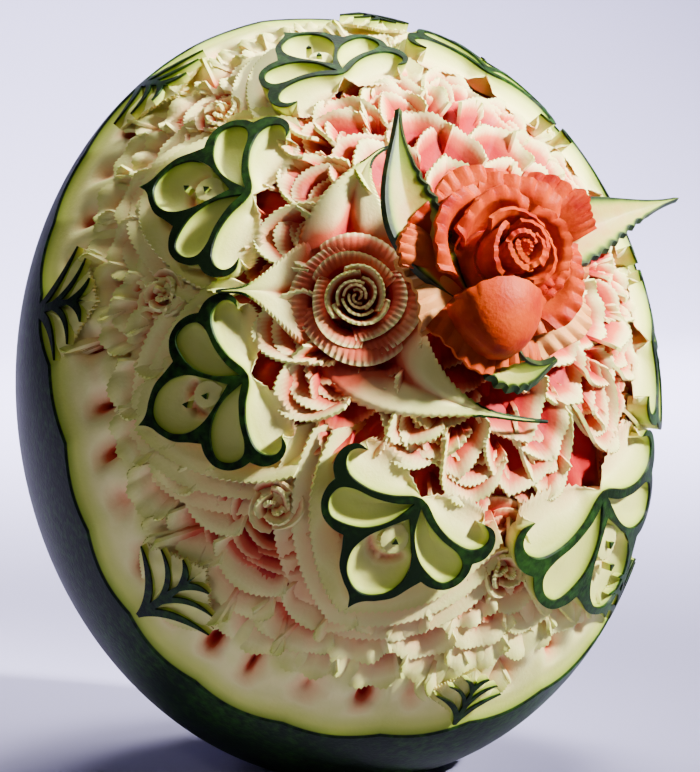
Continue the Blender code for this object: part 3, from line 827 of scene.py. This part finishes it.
        add_leaf(built, 48, max(4, int(8 * FINE)), place, lambda a, q: 3.5)
        for u in (19.5, 28.5)[:marks]:
            made = bmesh.ops.create_cone(
                built, cap_ends=True, segments=3, radius1=2.0, radius2=1.5, depth=5
            )["verts"]
            for vertex in made:
                vertex.co = Vector((u + vertex.co.x, 0.6 + vertex.co.y, -0.1 if vertex.co.z > 0 else -4.5))
            self.lift(made)


# How far each echoing collar reaches along its medallion, its half width, and its rim's height
COLLARS = [(59, 43, -5.2), (67, 50, -6.8), (76, 57, -8.6)]
# The flaps inside the collars: where each tip is along and across the medallion, and its height
FLAPS = [(-5, 17, -5.0), (-12, 13, -6.6), (-20, 9, -8.5)]


class MELON_OT_collars(MelonOperator, bpy.types.Operator):
    """The saw-toothed petals that echo each medallion below it, and the flaps inside it"""

    bl_idname = "melon.collars"
    bl_label = "Collars and flaps"

    def execute(self, context):
        self.start(context)
        flaps = new_mesh()
        layers = [new_mesh() for _ in COLLARS]
        for ends in MEDALLIONS:
            to_flat = motif(*ends, MEDALLION_LENGTH)
            for built, (far, half_width, height) in zip(layers, COLLARS):
                Fan(
                    self, to_flat(-36, 0), to_flat(far, 0), 12, half_width, (-20, height),
                    shoulder=0.34, point=0.12, ripe=(0.0, 5.0), first=0.5, rows=10, tooth=1.3, steep=2.4,
                ).add(built)
            for side in (1, -1):
                for tip, off, lift in FLAPS:
                    Fan(
                        self, to_flat(-44, side * 7), to_flat(tip, side * off), 6, 14.5, (-19, lift),
                        shoulder=0.42, cup=1.8, ripe=(1.5, 17.0), first=0.15, rows=10,
                    ).add(flaps)
        for index, built in enumerate(layers):
            self.carved_piece(context, f"collar_{index}", built)
        self.carved_piece(context, "flaps", flaps)
        return {"FINISHED"}


# Rings of pointed petals: count, reach, half width, height of rim and first bearing
PETAL_RINGS = [
    (9, 48, 15, -3.6, 10), (11, 61, 15, -3.2, 24), (12, 74, 16, -3.0, 8), (13, 87, 16, -3.6, 15),
]
# The petals in each gap between two medallions: bearing off the gap's own, reach, and height of rim
GAP_PETALS = [(-6, 106, -6.5), (7, 103, -6.0), (0, 96, -4.8)]


class MELON_OT_pointed_petals(MelonOperator, bpy.types.Operator):
    """The petals round the roses and between the medallions, whose tips keep a bit of skin"""

    bl_idname = "melon.pointed_petals"
    bl_label = "Pointed petals"

    def execute(self, context):
        self.start(context)
        built = new_mesh()
        for count, reach, half_width, height, start in PETAL_RINGS:
            for index in range(count):
                bearing = start + index * 360 / count + self.knife.uniform(-5, 5)
                self.petal(built, bearing, reach, half_width, height)
        for bearing in GAPS:
            for off, reach, height in GAP_PETALS:
                self.petal(built, bearing + off, reach, 17, height)
        self.carved_piece(context, "pointed_petals", built)
        return {"FINISHED"}

    def petal(self, built, angle, reach, half_width, height):
        """One petal. Those near the white rose lie lower, under its sepals, and none grows inside it."""
        tip = Vector(polar(angle, reach + self.knife.uniform(-5, 4)))
        near = (tip - Vector(WHITE_ROSE)).length
        if near > 27:
            fan = Fan(
                self, polar(angle + self.knife.uniform(-14, 14), reach - 36), tip, 6,
                half_width * self.knife.uniform(0.85, 1.15),
                (-19, height - self.knife.uniform(-0.5, 2.5) - 6 * (1 - smooth(32, 72, near))),
                shoulder=0.5, point=self.knife.uniform(0.05, 0.2), cup=1.5,
                ripe=(self.knife.uniform(1.5, 5.0), 18.0), first=0.25, rows=11,
            )
            fan.tilt = self.knife.uniform(-3.5, 3.5)
            fan.add(built)


# Rings of scoops: count, how far inside the edge, and the heights of root and rim
SCOOP_RINGS = [(40, 27, -15, -5.2), (34, 40, -17, -6.6), (30, 54, -18, -7.5)]


class MELON_OT_scoops(MelonOperator, bpy.types.Operator):
    """The rings of saw-toothed scoops between the medallions and the carving's edge"""

    bl_idname = "melon.scoops"
    bl_label = "Scoops"

    def execute(self, context):
        self.start(context)
        for ring, (count, inset, low, high) in enumerate(SCOOP_RINGS):
            built = new_mesh()
            for index in range(count):
                angle = (index + 0.5 * ring) * 360 / count + self.knife.uniform(-1.5, 1.5)
                reach = self.plan.rim_reach(math.radians(angle)) - inset - self.knife.uniform(0, 3)
                half_width = reach * math.pi / count * self.knife.uniform(1.0, 1.25)
                Fan(
                    self, polar(angle, reach - 32), polar(angle, reach), 5, half_width, (low, high),
                    shoulder=0.62, cup=1.4, ripe=(-0.8, 5.0), first=0.2, rows=8,
                ).add(built)
            self.carved_piece(context, f"scoops_{ring}", built)
        return {"FINISHED"}


# Each tuft's lines of skin: a three-point midline and the greatest width
PRONGS = [
    ([(0.5, 0), (19, 2.6), (27.5, 26)], 3.8),
    ([(13, 0), (31, 1.5), (35, 19)], 2.6),
    ([(29, 0), (38, 1.0), (40.5, 9.5)], 3.0),
]
STEM = ([(1, 0), (20, 0), (39, 0)], 3.8)


class MELON_OT_arrows(MelonOperator, bpy.types.Operator):
    """The pointed tufts of dark skin near the carving's edge, and the petal under each"""

    bl_idname = "melon.arrows"
    bl_label = "Arrows"

    def execute(self, context):
        self.start(context)
        built = new_mesh()
        beds = new_mesh()
        for ends in ARROWS:
            to_flat = motif(*ends, ARROW_LENGTH)
            self.prong(built, to_flat, *STEM)
            for hand in (1, -1):
                for points, width in PRONGS:
                    self.prong(built, to_flat, [(u, hand * v) for u, v in points], width)
            across, along = max(16, int(60 * FINE)), max(8, int(24 * FINE))
            add_leaf(beds, across, along, self.bed(to_flat), lambda a, q: 1.6 + 2 * q)
            for far, half_width, height in ((4, 24, -3.4), (-2, 28, -5.4)):
                Fan(
                    self, to_flat(62, 0), to_flat(far, 0), 10, half_width, (-16, height),
                    shoulder=0.5, point=0.2, cup=2.0,
                ).add(beds)
        self.carved_piece(context, "arrows", built, wall=3.4 * MM, offset=-1)
        self.carved_piece(context, "arrow_beds", beds)
        return {"FINISHED"}

    def bed(self, to_flat):
        """The green flesh between a tuft's lines, a little below them."""

        def place(a, q):
            share = abs(a)
            points = [(0.5, 0, 0), (22 - 3 * share, 2.6 * a, 0), (45 - 17 * share, 26 * a, 0)]
            spot = bend(points, q * (1 - 0.05 * teeth((a + 1) / 2, 30) * smooth(0.8, 1, q)))
            flat = to_flat(spot.x, spot.y)
            dip = 1.2 * math.sin(math.pi * q) * abs(math.sin(math.pi * 2 * a))
            return self.plan.at(flat.x, flat.y, -1.9 - dip - 2.2 * smooth(0.8, 1, q))

        return place

    def prong(self, built, to_flat, points, width):
        """One curved, tapering line of skin."""

        def place(a, q):
            taper = width * (math.sin(math.pi * (0.2 + 0.8 * q)) ** 0.9 + 0.04)
            spot = bend(points, q) + sideways(points, q) * (a * taper / 2)
            flat = to_flat(spot.x, spot.y)
            return self.plan.at(flat.x, flat.y, 0)

        verts = add_leaf(built, 2, max(8, int(18 * FINE)), place)
        middle = sum((v.co for v in verts), Vector()) / len(verts)
        face_towards(faces_of(verts), middle - self.plan.centre)


# Rows of a small rose: count, half arc, reach of root and rim, and height of rim
SMALL_ROWS = [
    (2, 1.2, (0.5, 2.5), -3.5), (3, 1.2, (2, 6.5), -4), (3, 1.2, (4, 10.5), -5.5),
    (5, 0.75, (11, 18), -8.5), (6, 0.75, (14, 24), -9), (7, 0.75, (17, 30), -9.5),
    (7, 0.75, (21, 36), -10.5),
]


class MELON_OT_small_roses(MelonOperator, bpy.types.Operator):
    """A small rose sunk between each two medallions"""

    bl_idname = "melon.small_roses"
    bl_label = "Small roses"

    def execute(self, context):
        self.start(context)
        built = new_mesh()
        for index, angle in enumerate(GAPS):
            middle = polar(angle, SMALL_ROSE_REACH)
            for row, (count, half_arc, reaches, top) in enumerate(SMALL_ROWS):
                teeth_here = max(7, round(0.5 * reaches[1]))
                for turn in range(count):
                    place = cup_petal(
                        lambda x, y, h: self.plan.at(middle[0] + x, middle[1] + y, h),
                        math.tau * turn / count + 0.7 * row + 0.5 * index, half_arc, reaches, (-19, top),
                        droop=2.2, curl=0.6, jag=0.9, lean=1.0, count=teeth_here,
                    )
                    add_leaf(built, 2 * teeth_here, 6, place, lambda a, q: 12 * (1 - q) ** 0.7 + 2)
        self.carved_piece(context, "small_roses", built)
        return {"FINISHED"}


# Rows of the pale rose: count, half arc, reach of root and rim, height of rim, first bearing, ripeness, curl
WHITE_ROWS = [
    (2, 1.75, 0.6, 1.9, -2.2, 20, 8.5, 0.0),
    (2, 1.85, 2.2, 4.0, -1.8, 70, 7.5, 0.2),
    (3, 1.40, 4.0, 6.4, -1.6, 120, 6.0, 0.4),
    (3, 1.45, 6.6, 10.2, -1.0, 30, 3.5, 0.8),
    (3, 1.35, 9.5, 14.5, -2.6, 200, 3.5, 3.6),
    (4, 1.15, 13.0, 19.5, -3.2, 60, 3.0, 5.5),
]


class MELON_OT_white_rose(MelonOperator, bpy.types.Operator):
    """The pale rose left of the middle, carved from the melon itself"""

    bl_idname = "melon.white_rose"
    bl_label = "White rose"

    def execute(self, context):
        self.start(context)
        built = new_mesh()
        for count, half_arc, root, rim, top, start, ripe, curl in WHITE_ROWS:
            teeth_here = max(7, round(2 * half_arc * rim / (self.sizes.tooth / MM)))
            for index in range(count):
                facing = math.radians(start + 360 * index / count + self.knife.uniform(-6, 6))
                place = cup_petal(
                    lambda x, y, h: self.plan.at(WHITE_ROSE[0] + x, WHITE_ROSE[1] + y, h),
                    facing, half_arc * self.knife.uniform(0.95, 1.1), (root, rim), (-23, top),
                    droop=1.2, curl=curl, jag=0.8, lean=1.0, count=teeth_here,
                )
                add_leaf(
                    built, 3 * teeth_here, max(6, int(18 * FINE)), place,
                    lambda a, q, ripe=ripe: ripe + 20 * (1 - q) ** 0.5,
                )
        self.carved_piece(context, "white_rose", built, wall=0.9 * MM)
        return {"FINISHED"}


# The pale rose's sepals: midline of (x, y, height) and half width at the root
SEPALS = [
    ([(-28, 16, -15), (-22, 61, 0), (-3, 64.5, 1)], 21),
    ([(-25, -4, -15), (-13, -41, 0), (43, -46.5, 1)], 23),
    ([(-38, 12, -15), (-58, 15, 0), (-77, 19, 1)], 23),
]


class MELON_OT_sepals(MelonOperator, bpy.types.Operator):
    """The three long pointed leaves that the white rose lies on"""

    bl_idname = "melon.sepals"
    bl_label = "Sepals"

    def execute(self, context):
        self.start(context)
        built = new_mesh()
        for points, half_width in SEPALS:
            add_leaf(built, max(12, int(36 * FINE)), 90, sepal(self.plan, points, half_width), self.ripe)
        self.carved_piece(context, "sepals", built)
        return {"FINISHED"}

    def ripe(self, a, q):
        """Cream, with a pink crease along the middle and skin left along the edges of the tip."""
        crease = 7 * math.exp(-((a / 0.2) ** 2)) * (1 - q) + 4 * (1 - smooth(0.05, 0.4, q))
        green = 6.5 * smooth(0.5, 0.85, q) * smooth(0.6, 0.95, abs(a)) + 4 * smooth(0.9, 1.0, q)
        return 4.0 + crease - green


# Petals of the red rose: facing, half arc, reach of root and rim, height of root and rim, curl, belly, pale
RED_PETALS = [
    (30, 1.75, 1.0, 2.6, 8, 25.5, 0.2, 0, 0),
    (200, 1.75, 1.6, 3.6, 8, 26.5, 0.3, 0, 0),
    (90, 1.5, 3.5, 5.6, 6, 27, 0.5, 0.6, 0),
    (215, 1.5, 4.0, 6.4, 6, 26, 0.5, 0.8, 0),
    (330, 1.5, 4.4, 7.0, 6, 26.5, 0.5, 0.6, 0),
    (165, 1.15, 8.0, 11.0, 4, 25, 0.8, 3.2, 0),
    (20, 1.3, 7.0, 9.6, 4, 25.5, 0.8, 0.8, 0),
    (340, 1.15, 9.0, 12.5, 4, 24, 1.0, 1.0, 0),
    (75, 1.15, 10.0, 13.5, 4, 24.5, 1.4, 1.4, 0),
    (285, 0.9, 11.0, 17.0, 3, 20, 1.2, 2.0, 0),
    (320, 0.95, 14.0, 20.0, 2, 20.5, 2.0, 2.0, 0),
    (10, 0.85, 15.0, 21.5, 2, 21.5, 2.0, 1.6, 0),
    (110, 0.95, 15.0, 22.0, 2, 22, 2.6, 2.0, 0),
    (150, 0.80, 18.0, 29.0, 1, 20, 3.0, 3.0, 0),
    (335, 0.72, 17.0, 29.5, 1, 15.5, 2.4, 2.0, 0),
    (65, 0.75, 18.0, 30.0, 1, 18, 2.6, 1.0, 0),
    (100, 0.62, 19.0, 33.0, 1, 15, 2.6, 1.0, 0),
    (300, 0.60, 16.0, 27.0, 1, 10.5, 2.6, 2.0, 0.15),
    (42, 0.50, 19.0, 37.0, 1, 17, 1.0, 0.5, 0),
    (26, 0.24, 20.0, 39.0, 1, 20.5, 1.0, 0, 0),
    (135, 0.55, 19.0, 36.0, 1, 13, 2.0, 1.0, 0),
    (168, 0.26, 22.0, 42.0, 0, 12.5, 0.5, 0, 0.1),
    (195, 0.45, 16.0, 37.0, 0, 4.5, 1.6, 0, 0.75),
    (238, 0.50, 15.0, 38.0, 1, 7.5, 3.4, 2.0, 0.05),
    (268, 0.45, 15.0, 36.0, 1, 7, 3.0, 2.0, 0.1),
    (318, 0.50, 16.0, 40.0, 0, 4.5, 1.0, 0, 0.8),
    (352, 0.45, 16.0, 36.0, 0, 7.5, 1.0, 0, 0.4),
]
# The big round petal: its middle, its half sizes and the way it faces
BALL = ((-7.5, -15.5, 8.5), (20.5, 16.5, 15.0), 262)


class MELON_OT_red_rose(MelonOperator, bpy.types.Operator):
    """The red rose, cut from riper flesh, on its round stub"""

    bl_idname = "melon.red_rose"
    bl_label = "Red rose"

    def execute(self, context):
        self.start(context)
        built = new_mesh()
        self.to_point = red_axes(self.plan)
        for facing, half_arc, root, rim, low, top, curl, belly, pale in RED_PETALS:
            pointed = 3.5 if half_arc < 0.62 else 2.0 if rim > 18 else 0.0
            petal = cup_petal(
                self.to_point, math.radians(facing), half_arc, (root, rim), (low, top),
                droop=2.4 + pointed, curl=curl, jag=2.0 if rim > 15 else 0.8, lean=0.8, count=6,
                belly=belly, phase=self.knife.uniform(0, 6),
            )
            add_leaf(
                built, max(12, int((26 + rim) * FINE)), max(6, int(20 * FINE)), petal,
                lambda a, q, pale=pale: pale + 0.25 * (1 - q) * (1 if pale else 0),
            )
        add_leaf(built, max(20, int(60 * FINE)), max(16, int(40 * FINE)), self.ball)
        flesh = [red_flesh(context)]
        piece(context, "red_rose_petals", built, "red_rose", "red_flesh", flesh, wall=1.8 * MM)
        stub = new_mesh()
        bmesh.ops.create_cone(
            stub, cap_ends=True, segments=64, radius1=19.5 * MM, radius2=12 * MM, depth=26 * MM
        )
        for vertex in stub.verts:
            vertex.co = self.to_point(vertex.co.x / MM, vertex.co.y / MM, vertex.co.z / MM - 5.5)
        piece(context, "red_rose_stub", stub, "red_rose", "red_flesh", flesh)
        return {"FINISHED"}

    def ball(self, a, q):
        """The big round petal below the bud: most of a ball, open towards the bud."""
        (x, y, height), (long, wide, high), facing = BALL
        facing = math.radians(facing)
        ahead = Vector((math.cos(facing), math.sin(facing), 0))
        side = Vector((-ahead.y, ahead.x, 0))
        turn = math.radians(-55 + 158 * q - 24 * abs(a) ** 2.2 * q)
        swing = a * math.radians(82)
        ragged = 1 + 0.10 * smooth(0.86, 1, q) - 0.07 * teeth((a + 1) / 2, 8) * smooth(0.85, 1, q)
        spot = ahead * (long * math.cos(turn) * math.cos(swing)) + side * (wide * math.sin(swing))
        spot *= ragged
        spot.z += high * math.sin(turn) * math.cos(swing) ** 0.7
        return self.to_point(x + spot.x, y + spot.y, height + spot.z)


def red_axes(plan):
    """Turns (x, y, height) about the red rose's own axis into a point."""
    middle = plan.at(*RED_ROSE)
    out = (plan.at(*RED_ROSE, 10) - middle).normalized()
    right = (plan.right - plan.right.dot(out) * out).normalized()
    up = out.cross(right)
    return lambda x, y, height: middle + (right * x + up * y + out * height) * MM


# Rind leaves of the red rose: midline of (x, y, height), half width, where it is widest, fold, warmth
# and greenness
RED_LEAVES = [
    ([(12, 2, 0), (-15, 24, 14), (-2, 68, 19)], 10.0, 0.42, 5.0, 1.6, 0.18),
    ([(40, 16, 6), (72, 28, 14), (101, 37, 30)], 12.0, 0.2, 4.0, 0.45, 0.0),
    ([(12, -6, 0), (20, -38, 2), (42, -24, 10)], 7.5, 0.5, 5.0, 0.2, 0.08),
]


class MELON_OT_rind_leaves(MelonOperator, bpy.types.Operator):
    """The three curling leaves of rind round the red rose, notched along one edge"""

    bl_idname = "melon.rind_leaves"
    bl_label = "Rind leaves"

    def execute(self, context):
        self.start(context)
        built = new_mesh()
        for leaf in RED_LEAVES:
            self.leaf(built, *leaf)
        rind = [scraped_rind(), waxy_skin(context)]
        piece(context, "rind_leaves", built, "red_rose", "red_flesh", rind, wall=2.6 * MM, back=1)
        return {"FINISHED"}

    def leaf(self, built, points, half_width, widest, fold, warm, tone):
        """One leaf, with its scraped side away from the melon."""

        def place(a, q):
            rise = smooth(-0.25, widest, q)
            width = 0.5 + half_width * rise * (1 - smooth(widest, 1.05, q)) ** 1.15
            notch = 1.6 * teeth(q, 13) * smooth(0.55, 1.0, -a)
            notch *= smooth(0.12, 0.3, q) * (1 - smooth(0.6, 0.8, q))
            spot = bend(points, q) + sideways(points, q) * (a * (width - notch))
            lift = fold * abs(a) ** 1.5 * min(1.0, width / half_width)
            return self.plan.at(spot.x, spot.y, spot.z + lift)

        def green(a, q):
            warmth = 0.5 * warm * (1 - q) ** 1.3 * (1 - a * a)
            edge = 0.55 * smooth(0.55, 1.0, abs(a)) ** 1.5
            return min(1.0, 0.5 + tone - warmth + edge + 0.25 * smooth(0.6, 1.0, q))

        made = add_leaf(built, max(10, int(28 * FINE)), max(20, int(78 * FINE)), place, green)
        faces = faces_of(made)
        for face in faces:
            face.normal_update()
        if sum(face.normal.dot(face.calc_center_median() - self.plan.centre) for face in faces) < 0:
            bmesh.ops.reverse_faces(built, faces=faces)


# The studio's lamps: name, place, target, size in metres, spread in degrees and power in watts. The narrow
# ones light the melon and not the floor, and the wash lights the floor and the backdrop.
LAMPS = [
    ("key", (1.25, -0.9, 1.2), (0.0, 0.0, 0.23), 0.35, 13, 3.5),
    ("fill", (-1.1, -1.2, 1.5), (0.0, 0.0, 0.26), 0.5, 15, 0.1),
    ("top", (0.3, 0.2, 1.5), (0.0, 0.0, 0.15), 0.7, 30, 2),
    ("wash", (0.45, 1.45, 1.9), (0.45, 1.75, 0.0), 1.2, 97, 152),
]
# The floor, in metres: how far it runs before and behind the melon, and half its width, then the
# radius it bends up with and the height of the wall above that
FLOOR_FRONT, FLOOR_BACK, FLOOR_HALF, FLOOR_BEND, FLOOR_WALL = 3.6, 2.2, 4.5, 0.6, 2.0
# The camera: its bearing and how far above level it looks from, in degrees, its distance, how far its aim
# is right of the carving's middle and above it, and the millimetres of its lens and sensor
CAMERA_BEARING, CAMERA_RISE, CAMERA_DISTANCE, CAMERA_AIM = -16, 5, 1.3, (0.0044, 0.0040)
CAMERA_LENS, CAMERA_SENSOR = 151.6, 36


class MELON_OT_stage(bpy.types.Operator):
    """A pale floor that curves up into a backdrop, soft lights and the camera"""

    bl_idname = "melon.stage"
    bl_label = "Stage"

    def execute(self, context):
        self.floor(context)
        self.lights(context)
        self.camera(context)
        return {"FINISHED"}

    def floor(self, context):
        built = bmesh.new()
        add_leaf(built, 1, 84, self.sweep)
        bmesh.ops.recalc_face_normals(built, faces=built.faces)
        mesh = bpy.data.meshes.new("backdrop")
        built.to_mesh(mesh)
        built.free()
        mesh.shade_smooth()
        mesh.materials.append(painted_backdrop())
        made = bpy.data.objects.new("backdrop", mesh)
        context.scene.collection.objects.link(made)

    def sweep(self, a, q):
        """The floor runs back, bends up and rises, further out than a camera stands behind the melon."""
        run, radius = FLOOR_FRONT + FLOOR_BACK, FLOOR_BEND
        way = q * (run + radius * math.pi / 2 + FLOOR_WALL)
        x = a * FLOOR_HALF
        if way < run:
            return Vector((x, way - FLOOR_FRONT, 0))
        turn = min((way - run) / radius, math.pi / 2)
        rise = max(0.0, way - run - radius * math.pi / 2)
        return Vector((
            x, run - FLOOR_FRONT + radius * math.sin(turn), radius * (1 - math.cos(turn)) + rise
        ))

    def lights(self, context):
        for name, spot, target, size, spread, power in LAMPS:
            lamp = bpy.data.lights.new(name, "AREA")
            lamp.size = size
            lamp.spread = math.radians(spread)
            lamp.energy = power
            made = bpy.data.objects.new(name, lamp)
            made.location = spot
            made.rotation_euler = (Vector(spot) - Vector(target)).to_track_quat("Z", "Y").to_euler()
            context.scene.collection.objects.link(made)
        world = bpy.data.worlds.new("room")
        context.scene.world = world
        world.use_nodes = True
        sky = world.node_tree.nodes["Background"]
        sky.inputs["Color"].default_value = (*linear("#E4E4F2"), 1)
        sky.inputs["Strength"].default_value = 0.05

    def camera(self, context):
        """A long lens that looks at the middle of the carving from the left and a little above."""
        plan = Plan(context.scene.melon_sizes)
        azimuth, elevation = math.radians(CAMERA_BEARING), math.radians(CAMERA_RISE)
        level = math.cos(elevation)
        back = Vector((math.sin(azimuth) * level, -math.cos(azimuth) * level, math.sin(elevation)))
        right = Vector((math.cos(azimuth), math.sin(azimuth), 0))
        up = back.cross(right)
        eye = plan.centre + right * CAMERA_AIM[0] + up * CAMERA_AIM[1] + back * CAMERA_DISTANCE
        lens = bpy.data.cameras.new("camera")
        lens.lens = CAMERA_LENS
        lens.sensor_width = CAMERA_SENSOR
        made = bpy.data.objects.new("camera", lens)
        made.matrix_world = Matrix((
            (right.x, up.x, back.x, eye.x), (right.y, up.y, back.y, eye.y),
            (right.z, up.z, back.z, eye.z), (0, 0, 0, 1),
        ))
        context.scene.collection.objects.link(made)
        context.scene.camera = made


OPERATORS = [
    MELON_OT_body, MELON_OT_medallions, MELON_OT_collars, MELON_OT_pointed_petals, MELON_OT_scoops,
    MELON_OT_arrows, MELON_OT_small_roses, MELON_OT_white_rose, MELON_OT_sepals, MELON_OT_red_rose,
    MELON_OT_rind_leaves, MELON_OT_stage,
]


class MELON_PT_panel(bpy.types.Panel):
    """Lists the melon's sizes, colours and pieces"""

    bl_idname = "MELON_PT_panel"
    bl_label = "Carved watermelon"
    bl_space_type = "VIEW_3D"
    bl_region_type = "UI"
    bl_category = "Melon"

    def draw(self, context):
        for group in (context.scene.melon_sizes, context.scene.melon_colours):
            box = self.layout.box()
            for name in group.bl_rna.properties.keys():
                if name not in {"rna_type", "name"}:
                    box.prop(group, name)
        for operator in OPERATORS:
            self.layout.operator(operator.bl_idname)


def register():
    for kind in (MelonSizes, MelonColours, *OPERATORS, MELON_PT_panel):
        bpy.utils.register_class(kind)
    bpy.types.Scene.melon_sizes = PointerProperty(type=MelonSizes)
    bpy.types.Scene.melon_colours = PointerProperty(type=MelonColours)


def unregister():
    del bpy.types.Scene.melon_colours
    del bpy.types.Scene.melon_sizes
    for kind in reversed((MelonSizes, MelonColours, *OPERATORS, MELON_PT_panel)):
        bpy.utils.unregister_class(kind)


def main():
    register()
    for operator in OPERATORS:
        group, name = operator.bl_idname.split(".")
        getattr(getattr(bpy.ops, group), name)()


if __name__ == "__main__":
    main()
